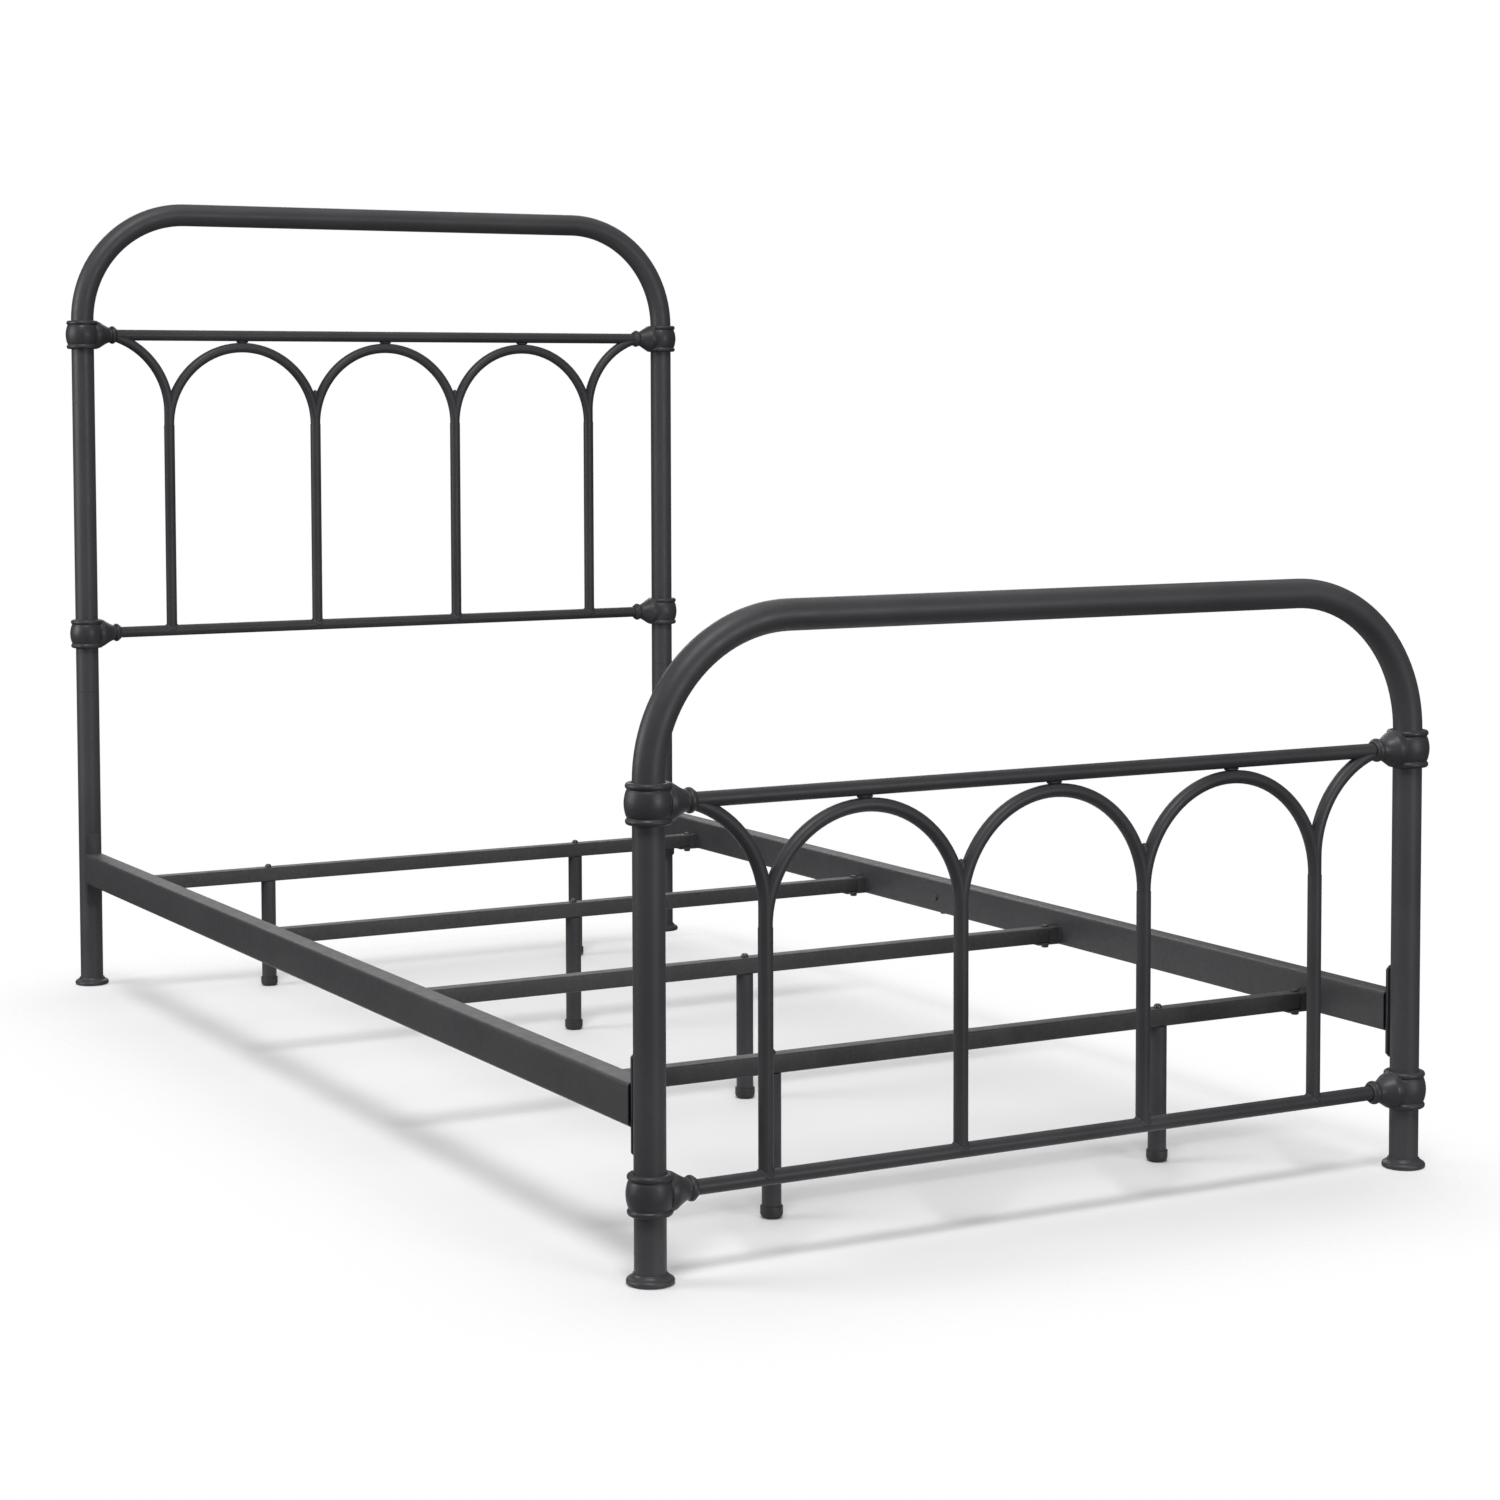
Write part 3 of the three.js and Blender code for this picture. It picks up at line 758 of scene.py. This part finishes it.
def weld_ring(bm, centre, bar_radius, thickness):
    """A round bead about an upright bar that stands on a lying rod."""
    loop = bmesh.new()
    section = bmesh.ops.create_circle(
        loop, cap_ends=False, radius=thickness, segments=10,
        matrix=Matrix.Translation((bar_radius, 0, 0)) @ Matrix.Rotation(math.pi / 2, 4, "X"),
    )["verts"]
    edges = once_each(edge for vert in section for edge in vert.link_edges)
    bmesh.ops.spin(
        loop, geom=section + edges, cent=(0, 0, 0), axis=(0, 0, 1), dvec=(0, 0, 0),
        angle=2 * math.pi, steps=40, use_merge=True, use_duplicate=False,
    )
    for vert in loop.verts:
        across = min(abs(vert.co.y), ROD_R * WIDEST_ON_ROD)
        ripple = math.sin(RIPPLES * math.atan2(vert.co.y, vert.co.x))
        vert.co.z += math.sqrt(ROD_R**2 - across**2)
        vert.co.z += RIPPLE_HEIGHT * thickness * ripple
    absorb(bm, place(loop, centre))


def weld_blob(bm, centre, size):
    """A rounded lump of weld, size given as half extents in mm."""
    lump = bmesh.new()
    bmesh.ops.create_icosphere(lump, subdivisions=3, radius=1.0)
    bmesh.ops.scale(lump, verts=lump.verts, vec=[amount * MM for amount in size])
    absorb(bm, place(lump, centre))


PARTING = math.sqrt(ARCH_R**2 - (ARCH_R - BAR_R) ** 2)
print("arches part", round(PARTING / MM, 1), "mm above the spring line")

# %% [markdown]
# ## Welding the two ends
#
# Each end needs a ring at every spindle's foot, a blob in the crotch where two arches part,
# another under each arch's crown, and one where the end arc meets the upper rod. The blobs are
# wider than the gap and sink into the bars, so no crack of daylight is left.

# %% Weld the ends
RING_WELD = 1.7 * MM
CROTCH_LIFT = 3 * MM
CROTCH_WELD = (4.4, 5.6, 9.5)
CROWN_WELD = (10.5, 4.6, 2.4)
CROWN_WELD_DROP = ROD_R + 1.0 * MM
END_WELD = (9.0, 5.2, 3.4)
END_WELD_REACH = 66 * MM
END_WELD_DROP = ROD_R * 0.8

for end in ENDS:
    y, top, bottom = END_Y[end], ROD_Z[end, "upper"], ROD_Z[end, "lower"]
    crotch = spring_line(end) + PARTING + CROTCH_LIFT
    bm = bmesh.new()
    for x in SPINDLE_X:
        weld_ring(bm, (x, y, bottom), SPINDLE_R, RING_WELD)
    for x in SPINDLE_X:
        weld_blob(bm, (x, y, crotch), CROTCH_WELD)
    for number in ARCHES:
        weld_blob(bm, (middle(f"{end}_arch_{number}").x, y, top - CROWN_WELD_DROP), CROWN_WELD)
    for sign in SIDES.values():
        weld_blob(bm, (sign * (POST_X - END_WELD_REACH), y, top - END_WELD_DROP), END_WELD)
    welds = finish_piece(bm, f"{end}_welds", BAR_PAINT, sharp=60)
    print(welds.name, len(welds.data.polygons), "faces")

# %% [markdown]
# ## Side rails
#
# A rail is cold-formed rectangular tube: flat faces with rolled corners that shine as a pale
# line along the top. It starts as a box with its two ends removed, and its four long edges are
# bevelled; the finishing bench then gives the sheet its thickness, so the open ends show a wall.

# %% Form the rails
RAIL_WIDTH = 30 * MM
RAIL_CORNER = 4.0 * MM
FOLD_DEGREES = 30


def block(size, centre):
    bm = bmesh.new()
    bmesh.ops.create_cube(bm, size=1.0)
    bmesh.ops.scale(bm, verts=bm.verts, vec=size)
    bmesh.ops.translate(bm, verts=bm.verts, vec=centre)
    return bm


def round_edges(bm, edges, radius, steps):
    bmesh.ops.bevel(bm, geom=edges, offset=radius, offset_type="OFFSET", segments=steps,
                    profile=0.5, affect="EDGES", material=-1)


def box_tube(low, high, axis, corner):
    """Open-ended tube of box section along X (axis 0) or Y (axis 1)."""
    size = high - low
    bm = block(size, (high + low) / 2)
    ends = [face for face in bm.faces if abs(face.normal[axis]) > 0.9]
    bmesh.ops.delete(bm, geom=ends, context="FACES_ONLY")
    long_edges = [edge for edge in bm.edges
                  if abs((edge.verts[0].co - edge.verts[1].co)[axis]) > 0.9 * size[axis]]
    round_edges(bm, long_edges, corner, 6)
    return bm


for side, sign in SIDES.items():
    node = f"side_rail_{side}"
    low, high = box_of(node)
    low.x = sign * POST_X - RAIL_WIDTH / 2
    high.x = sign * POST_X + RAIL_WIDTH / 2
    rail = finish_piece(box_tube(low, high, 1, RAIL_CORNER), f"rail_{side}", RAIL_PAINT,
                        [node], TUBE_WALL, FOLD_DEGREES)
    print(rail.name, size_text(rail))

# %% [markdown]
# ## Slats
#
# The slats are square tube, so they come from the same tool as the rails, with tighter corners
# and run across the bed. Their colour is darker than the rails' paint as painted shade, for the
# rails' shade they sit in; the real paint is the same.

# %% Make the slats
SLAT_CORNER = 2.6 * MM
SLATS = {}
for number in (1, 2, 3, 4):
    node = f"slat_{number}"
    SLATS[number] = box_of(node)
    finish_piece(box_tube(*SLATS[number], 0, SLAT_CORNER), f"{node}_tube", SLAT_PAINT_WITH_PAINTED_SHADE,
                 [node], TUBE_WALL, FOLD_DEGREES)
print("slats at", [round((low.y + high.y) / 2, 3) for low, high in SLATS.values()])

# %% [markdown]
# ## Slat brackets
#
# Each slat rests in a folded steel bracket: a tongue carries it from below and two cheeks keep
# it from sliding along the rail. The real one is bent from one strip, so this one is a box with
# its top and both ends open, its lower corners rounded, and the front of each cheek cut away
# with a bisecting plane. Thickness comes last, so every wall is one sheet thick.

# %% Fold the brackets
SHEET = 2.2 * MM
CHEEK = 15 * MM
TONGUE = 34 * MM
BRACKET_FOLD = 3.2 * MM
CHEEK_SLOPE = 0.12
CHEEK_NOSE = 3 * MM
CHEEK_RISE = 0.2 * MM
RAIL_FACE = POST_X - RAIL_WIDTH / 2


def trim_cheeks(fold, sign, top):
    slope = Vector((-sign * 1.0, 0, CHEEK_SLOPE)).normalized()
    corner = Vector((sign * (RAIL_FACE - CHEEK), 0, top - CHEEK_NOSE))
    walls = [face for face in fold.faces if abs(face.normal.y) > 0.9]
    parts = once_each(edge for face in walls for edge in face.edges)
    verts = once_each(vert for face in walls for vert in face.verts)
    bmesh.ops.bisect_plane(fold, geom=verts + parts + walls, plane_co=corner, plane_no=slope)
    waste = [face for face in fold.faces if abs(face.normal.y) > 0.9
             and (face.calc_center_median() - corner).dot(slope) > 0]
    bmesh.ops.delete(fold, geom=waste, context="FACES")


def make_bracket(bm, sign, low, high):
    """Folded from the rail's inner face; low and high are the slat's corners."""
    width = high.y - low.y + 2 * FIT_GAP + 2 * SHEET
    bottom, top = low.z - FIT_GAP - SHEET, high.z + CHEEK_RISE
    centre = Vector((sign * (RAIL_FACE - TONGUE / 2), (low.y + high.y) / 2, (bottom + top) / 2))
    fold = block((TONGUE, width, top - bottom), centre)
    open_faces = [face for face in fold.faces if face.normal.z > 0.9 or abs(face.normal.x) > 0.9]
    bmesh.ops.delete(fold, geom=open_faces, context="FACES_ONLY")
    lengthwise = [edge for edge in fold.edges
                  if abs(edge.verts[0].co.x - edge.verts[1].co.x) > 0.5 * TONGUE
                  and edge.verts[0].co.z < centre.z]
    round_edges(fold, lengthwise, BRACKET_FOLD, 4)
    trim_cheeks(fold, sign, top)
    bmesh.ops.recalc_face_normals(fold, faces=fold.faces)
    outward = sum(face.normal.dot(face.calc_center_median() - centre) for face in fold.faces)
    if outward < 0:
        bmesh.ops.reverse_faces(fold, faces=fold.faces)
    bmesh.ops.solidify(fold, geom=fold.faces, thickness=SHEET)
    absorb(bm, fold)


for side, sign in SIDES.items():
    bm = bmesh.new()
    for low, high in SLATS.values():
        make_bracket(bm, sign, low, high)
    bracket = finish_piece(bm, f"slat_brackets_{side}", RAIL_PAINT, sharp=FOLD_DEGREES)
    print(bracket.name, size_text(bracket))

# %% [markdown]
# ## Weld on the rails
#
# Each bracket is welded to the rail down both cheeks. A straight bead is a round bar half sunk
# in the steel, with a slightly wavy top, so it is pushed out in short steps and each ring is
# scaled a little as it goes. A plain cylinder there would look like glued-on wire.

# %% Lay straight beads
RAIL_WELD = 1.5 * MM
RAIL_WELD_START = 3 * MM
BEAD_PITCH = 1.6 * MM
SWELL, SHRINK = 1.13, 0.885


def bead(bm, start, end, radius):
    direction = end - start
    turn = direction.to_track_quat("Z", "Y").to_matrix().to_4x4()
    line = bmesh.new()
    steps = max(4, round(direction.length / BEAD_PITCH))
    first = ring(line, start, radius, 8, turn)
    edges = first
    for step in range(steps):
        edges = scale_ring(line, push(line, edges, direction / steps), SWELL if step % 2 else SHRINK)
    cap(line, first)
    cap(line, edges)
    absorb(bm, line)


for side, sign in SIDES.items():
    x = sign * RAIL_FACE
    bm = bmesh.new()
    for low, high in SLATS.values():
        bottom = low.z - SHEET + RAIL_WELD_START
        for y in (low.y - SHEET - FIT_GAP, high.y + SHEET + FIT_GAP):
            bead(bm, Vector((x, y, bottom)), Vector((x, y, high.z)), RAIL_WELD)
    finish_piece(bm, f"bracket_welds_{side}", RAIL_PAINT, sharp=60)
print("bracket welds laid:", 2 * len(SLATS), "to a rail")

# %% [markdown]
# ## Hook plates
#
# A tall plate on each rail end carries two hooks that drop through slots in the post, so the bed
# goes together without tools. The plate starts as a cube, its four upright corners are cut with
# a wide one-segment bevel, and a fine bevel takes the sharpness off the rest.

# %% Make the hook plates
PLATE_THICK = 4 * MM
PLATE_CORNER = 5 * MM
PLATE_EDGE = 0.6 * MM
HOOK = Vector((5, 7, 14)) * MM
HOOK_PITCH = 70 * MM
HOOK_REACH = 5 * MM
HOOK_EDGE = 0.8 * MM
PLATE_WELD = 1.6 * MM
PLATE_WELD_INSET = 3.5 * MM


def make_hook_plate(end, side):
    node = f"hook_plate_{end}_{side}"
    low, high = box_of(node)
    centre = (low + high) / 2
    inward = -1 if END_Y[end] > 0 else 1
    inner_y = low.y if inward < 0 else high.y
    face_y = inner_y - inward * PLATE_THICK / 2
    bm = block((high.x - low.x, PLATE_THICK, high.z - low.z), (centre.x, face_y, centre.z))
    corners = [edge for edge in bm.edges
               if abs(edge.verts[0].co.y - edge.verts[1].co.y) > PLATE_THICK / 2]
    round_edges(bm, corners, PLATE_CORNER, 1)
    round_edges(bm, bm.edges[:], PLATE_EDGE, 2)
    for row in (-1, 1):
        hook = block(HOOK, (0, 0, 0))
        round_edges(hook, hook.edges[:], HOOK_EDGE, 2)
        absorb(bm, place(hook, (centre.x, face_y - inward * HOOK_REACH, centre.z + row * HOOK_PITCH / 2)))
    rail_low, rail_high = box_of(f"side_rail_{side}")
    for z in (rail_low.z, rail_high.z):
        bead(bm, Vector((low.x + PLATE_WELD_INSET, inner_y, z)),
             Vector((high.x - PLATE_WELD_INSET, inner_y, z)), PLATE_WELD)
    return finish_piece(bm, f"{node}_steel", BAR_PAINT, [node], sharp=35)


for end in ENDS:
    for side in SIDES:
        plate = make_hook_plate(end, side)
        print(plate.name, size_text(plate))

# %% [markdown]
# ## Support legs and caps
#
# A short tube stands under each slat, closed by a push-on plastic cap with a rounded sole. The
# cap is turned like the flanges; a shallow line where its rim ends catches a shadow.

# %% Make the legs and caps
LEGS = [name[len("support_leg_"):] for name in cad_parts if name.startswith("support_leg_")]
LEG_R = extent(f"support_leg_{LEGS[0]}").y / 2
CAP_R = extent(f"leg_cap_{LEGS[0]}").y / 2 / MM
CAP_TOP = extent(f"leg_cap_{LEGS[0]}").z / MM
CAP_SIDES = 40


def make_leg(leg):
    node = f"support_leg_{leg}"
    low, high = box_of(node)
    centre = middle(node)
    bm = bmesh.new()
    push(bm, ring(bm, (centre.x, centre.y, low.z), LEG_R, BAR_SIDES), UP * (high.z - low.z))
    finish_piece(bm, f"{node}_tube", BAR_PAINT, [node], TUBE_WALL)


def make_leg_cap(leg):
    centre = middle(f"support_leg_{leg}")
    socket = LEG_R / MM + FIT_GAP / MM
    bm = turned(
        [(0, 0), (CAP_R - 3, 0), (CAP_R, 3), (CAP_R, CAP_TOP), (socket, CAP_TOP), (socket, 3), (0, 3)],
        [0, 0.8, 2.6, 0.6, 0.3, 0, 0], CAP_SIDES, closed=False,
    )
    place(bm, (centre.x, centre.y, 0))
    finish_piece(bm, f"leg_cap_{leg}_plastic", CAP_PLASTIC, [f"leg_cap_{leg}"], sharp=45)


for leg in LEGS:
    make_leg(leg)
    make_leg_cap(leg)
print("legs:", LEGS)

# %% [markdown]
# ## Bolt heads
#
# A head starts as a six-sided cylinder whose top edge is bevelled, as a real one is chamfered
# when it is forged. A washer under it and the domed end of a leg bolt are turned shapes. They
# are small, so they need few faces, but their edges catch light that flat discs would miss.


# %% Make the bolt tools
BELOW = Matrix.Rotation(math.pi, 4, "X")
SMALL_SIDES = 28


def hex_head(bm, centre, across, height, turn=Matrix()):
    radius = across / math.sqrt(3)
    head = bmesh.new()
    bmesh.ops.create_cone(
        head, cap_ends=True, cap_tris=False, segments=6, radius1=radius, radius2=radius,
        depth=height, matrix=Matrix.Translation((0, 0, height / 2)),
    )
    top = [edge for edge in head.edges if all(vert.co.z > height * 0.9 for vert in edge.verts)]
    round_edges(head, top, height * 0.3, 3)
    absorb(bm, place(head, centre, turn))


def washer(bm, centre, radius, turn=Matrix()):
    edge = radius / MM
    disc = turned([(0, 0), (edge, 0), (edge, 1.2), (0, 1.2)], [0, 0.3, 0.5, 0], SMALL_SIDES, closed=False)
    absorb(bm, place(disc, centre, turn))


def dome(bm, centre):
    points = [(0, 0), (5.2, 0), (5.0, 2.6), (3.2, 4.8), (0, 5.2)]
    button = turned(points, [0, 0.4, 1.4, 1.2, 0], SMALL_SIDES, closed=False)
    absorb(bm, place(button, centre))


print("bolt tools: hex_head, washer, dome")

# %% [markdown]
# ## Placing the bolts
#
# A bolt holds each slat end to its tongue, with a washer and nut beneath; another runs down into
# each support leg and shows as a dome; and one small bolt with a stud beneath it marks the
# middle of each rail. They are joined as one piece, because they share a paint and never move.

# %% Place the bolts
BOLT_ACROSS = 9 * MM
BOLT_REACH = 16.5 * MM
HEAD_HEIGHT, NUT_HEIGHT, STUD_HEIGHT = 3.0 * MM, 4.0 * MM, 3.4 * MM
STUD_ACROSS = 8 * MM
HEAD_SINK = 0.1 * MM
WASHER_R, WASHER_DROP = 6 * MM, 1.1 * MM
RAIL_BOLT_Y, RAIL_BOLT_Z = 60 * MM, 188 * MM
RAIL_STUD_Y, RAIL_STUD_Z, RAIL_STUD_INSET = 48 * MM, 168 * MM, 6 * MM


def bolt_slat(bm, sign, low, high):
    x, y = sign * (RAIL_FACE - BOLT_REACH), (low.y + high.y) / 2
    under = low.z - FIT_GAP - SHEET
    hex_head(bm, (x, y, high.z - HEAD_SINK), BOLT_ACROSS, HEAD_HEIGHT)
    washer(bm, (x, y, under), WASHER_R, BELOW)
    hex_head(bm, (x, y, under - WASHER_DROP), BOLT_ACROSS, NUT_HEIGHT, BELOW)


def bolt_rail(bm, sign):
    inward = Matrix.Rotation(-sign * math.pi / 2, 4, "Y")
    bolt = (sign * RAIL_FACE, RAIL_BOLT_Y, RAIL_BOLT_Z)
    stud = (sign * (RAIL_FACE + RAIL_STUD_INSET), RAIL_STUD_Y, RAIL_STUD_Z)
    hex_head(bm, bolt, STUD_ACROSS, STUD_HEIGHT, inward)
    hex_head(bm, stud, STUD_ACROSS, STUD_HEIGHT, BELOW)


bolts = bmesh.new()
for low, high in SLATS.values():
    for sign in SIDES.values():
        bolt_slat(bolts, sign, low, high)
for leg in LEGS:
    centre = middle(f"support_leg_{leg}")
    dome(bolts, (centre.x, centre.y, SLATS[int(leg[0])][1].z))
for sign in SIDES.values():
    bolt_rail(bolts, sign)
bolt_set = finish_piece(bolts, "slat_and_leg_bolts", BOLT_PAINT, sharp=28)
print(bolt_set.name, len(bolt_set.data.polygons), "faces")

# %% [markdown]
# ## A floor that fades
#
# The bed stands on a plain pale floor. A floor that simply ended would draw a horizon behind the
# bed, so its alpha falls away with distance from a box the size of the bed, and its edge melts
# into the white room from any side. The distance is worked out with a few vector nodes: fold the
# floor into one quarter, take away the box, and measure what is left.

# %% Pale floor
FLOOR_RADIUS = 9.0
FLOOR_DROP = 0.4 * MM
FLOOR_TONE = 0.73
FADE_CENTRE = (0.06, 0.08, 0)
FADE_HALF = (0.36, 0.86, 0)
FADE_REACH = 0.46


def distance_from_box(tree):
    spot = tree.nodes.new("ShaderNodeTexCoord").outputs["Object"]
    steps = (("ADD", FADE_CENTRE), ("ABSOLUTE", None), ("SUBTRACT", FADE_HALF),
             ("MAXIMUM", (0, 0, 0)), ("LENGTH", None))
    for operation, amount in steps:
        step = tree.nodes.new("ShaderNodeVectorMath")
        step.operation = operation
        tree.links.new(spot, step.inputs[0])
        if amount:
            step.inputs[1].default_value = amount
        spot = step.outputs["Value" if operation == "LENGTH" else "Vector"]
    return spot


def floor_finish():
    material = bpy.data.materials.new("pale floor")
    material.use_nodes = True
    tree = material.node_tree
    shader = tree.nodes["Principled BSDF"]
    shader.inputs["Base Color"].default_value = (FLOOR_TONE, FLOOR_TONE, FLOOR_TONE, 1)
    shader.inputs["Roughness"].default_value = 0.85
    shader.inputs["Specular IOR Level"].default_value = 0.1
    fade = tree.nodes.new("ShaderNodeMapRange")
    fade.interpolation_type = "SMOOTHERSTEP"
    fade.inputs["From Min"].default_value = 0.0
    fade.inputs["From Max"].default_value = FADE_REACH
    fade.inputs["To Min"].default_value = 1.0
    fade.inputs["To Max"].default_value = 0.0
    tree.links.new(distance_from_box(tree), fade.inputs["Value"])
    tree.links.new(fade.outputs["Result"], shader.inputs["Alpha"])
    return material


def make_floor():
    bm = bmesh.new()
    bmesh.ops.create_circle(bm, cap_ends=True, radius=FLOOR_RADIUS, segments=96)
    mesh = bpy.data.meshes.new("studio_floor")
    bm.to_mesh(mesh)
    bm.free()
    floor = bpy.data.objects.new("studio_floor", mesh)
    floor.location.z = -FLOOR_DROP
    bpy.context.scene.collection.objects.link(floor)
    mesh.materials.append(floor_finish())


make_floor()
print("floor fades out over", FADE_REACH, "m")

# %% [markdown]
# ## The white room
#
# A studio backdrop is far brighter than anything that should light a dark bed. The Light Path
# node parts the two: rays straight from the camera see pure white, and every other ray gets a
# dim, even fill that only opens up the shadows.

# %% White room
ROOM_FILL = 0.14
BACKDROP = 1.0


def white(node, strength):
    node.inputs["Color"].default_value = (1.0, 1.0, 1.0, 1)
    node.inputs["Strength"].default_value = strength
    return node.outputs["Background"]


def make_room():
    world = bpy.data.worlds.new("white room")
    world.use_nodes = True
    bpy.context.scene.world = world
    tree = world.node_tree
    fill = white(tree.nodes["Background"], ROOM_FILL)
    backdrop = white(tree.nodes.new("ShaderNodeBackground"), BACKDROP)
    seen = tree.nodes.new("ShaderNodeLightPath")
    mix = tree.nodes.new("ShaderNodeMixShader")
    tree.links.new(seen.outputs["Is Camera Ray"], mix.inputs["Fac"])
    tree.links.new(fill, mix.inputs[1])
    tree.links.new(backdrop, mix.inputs[2])
    tree.links.new(mix.outputs["Shader"], tree.nodes["World Output"].inputs["Surface"])


make_room()
bpy.context.scene.view_settings.view_transform = "Standard"
print("room fill", ROOM_FILL, "backdrop", BACKDROP)

# %% [markdown]
# ## Five soft lights
#
# Dark round bar is drawn by what it reflects, so every light is a wide rectangle. The key, high
# in front on the left, casts the soft shadow; the overhead greys the tops of rails and slats;
# the left window gives the rails' faces their tone and the posts their pale edge; the front
# fill lifts the foot end; and the back wall edges the tubes from behind.


# %% Studio light
def soft_light(name, at, towards, width, height, watts):
    data = bpy.data.lights.new(name, "AREA")
    data.shape = "RECTANGLE"
    data.size = width
    data.size_y = height
    data.energy = watts
    lamp = bpy.data.objects.new(name, data)
    lamp.location = at
    lamp.rotation_euler = (Vector(towards) - Vector(at)).to_track_quat("-Z", "Y").to_euler()
    bpy.context.scene.collection.objects.link(lamp)


soft_light("overhead", (0.8, 0.4, 3.8), (0.1, 0.0, 0.0), 3.0, 3.6, 36)
soft_light("key", (-2.6, -4.4, 8.4), (0.0, 0.0, 0.2), 3.0, 3.0, 640)
soft_light("left_window", (-4.3, 1.2, 1.7), (0.0, 0.0, 0.4), 2.2, 2.2, 142)
soft_light("front_fill", (1.5, -6.3, 1.3), (0.0, 0.0, 0.5), 2.2, 1.8, 150)
soft_light("back_wall", (1.6, 5.5, 3.0), (0.0, 0.0, 0.2), 5.0, 2.0, 85)

# %% [markdown]
# ## The camera
#
# The bed is seen from beyond its foot, to the left, at about waist height. The camera is nearly
# level, which keeps the posts upright, and a downward shift frames the bed without tipping it.
# A longish lens keeps the head end from shrinking too much behind the foot.

# %% Camera
lens = bpy.data.cameras.new("camera")
lens.lens = 75.73
lens.sensor_width = 36.0
lens.shift_y = -0.1114
camera = bpy.data.objects.new("camera", lens)
camera.location = (-2.0355, -3.9548, 0.9504)
camera.rotation_euler = [math.radians(angle) for angle in (86.569, 0.139, -28.948)]
bpy.context.scene.collection.objects.link(camera)
bpy.context.scene.camera = camera
print("camera at", tuple(round(v, 3) for v in camera.location))
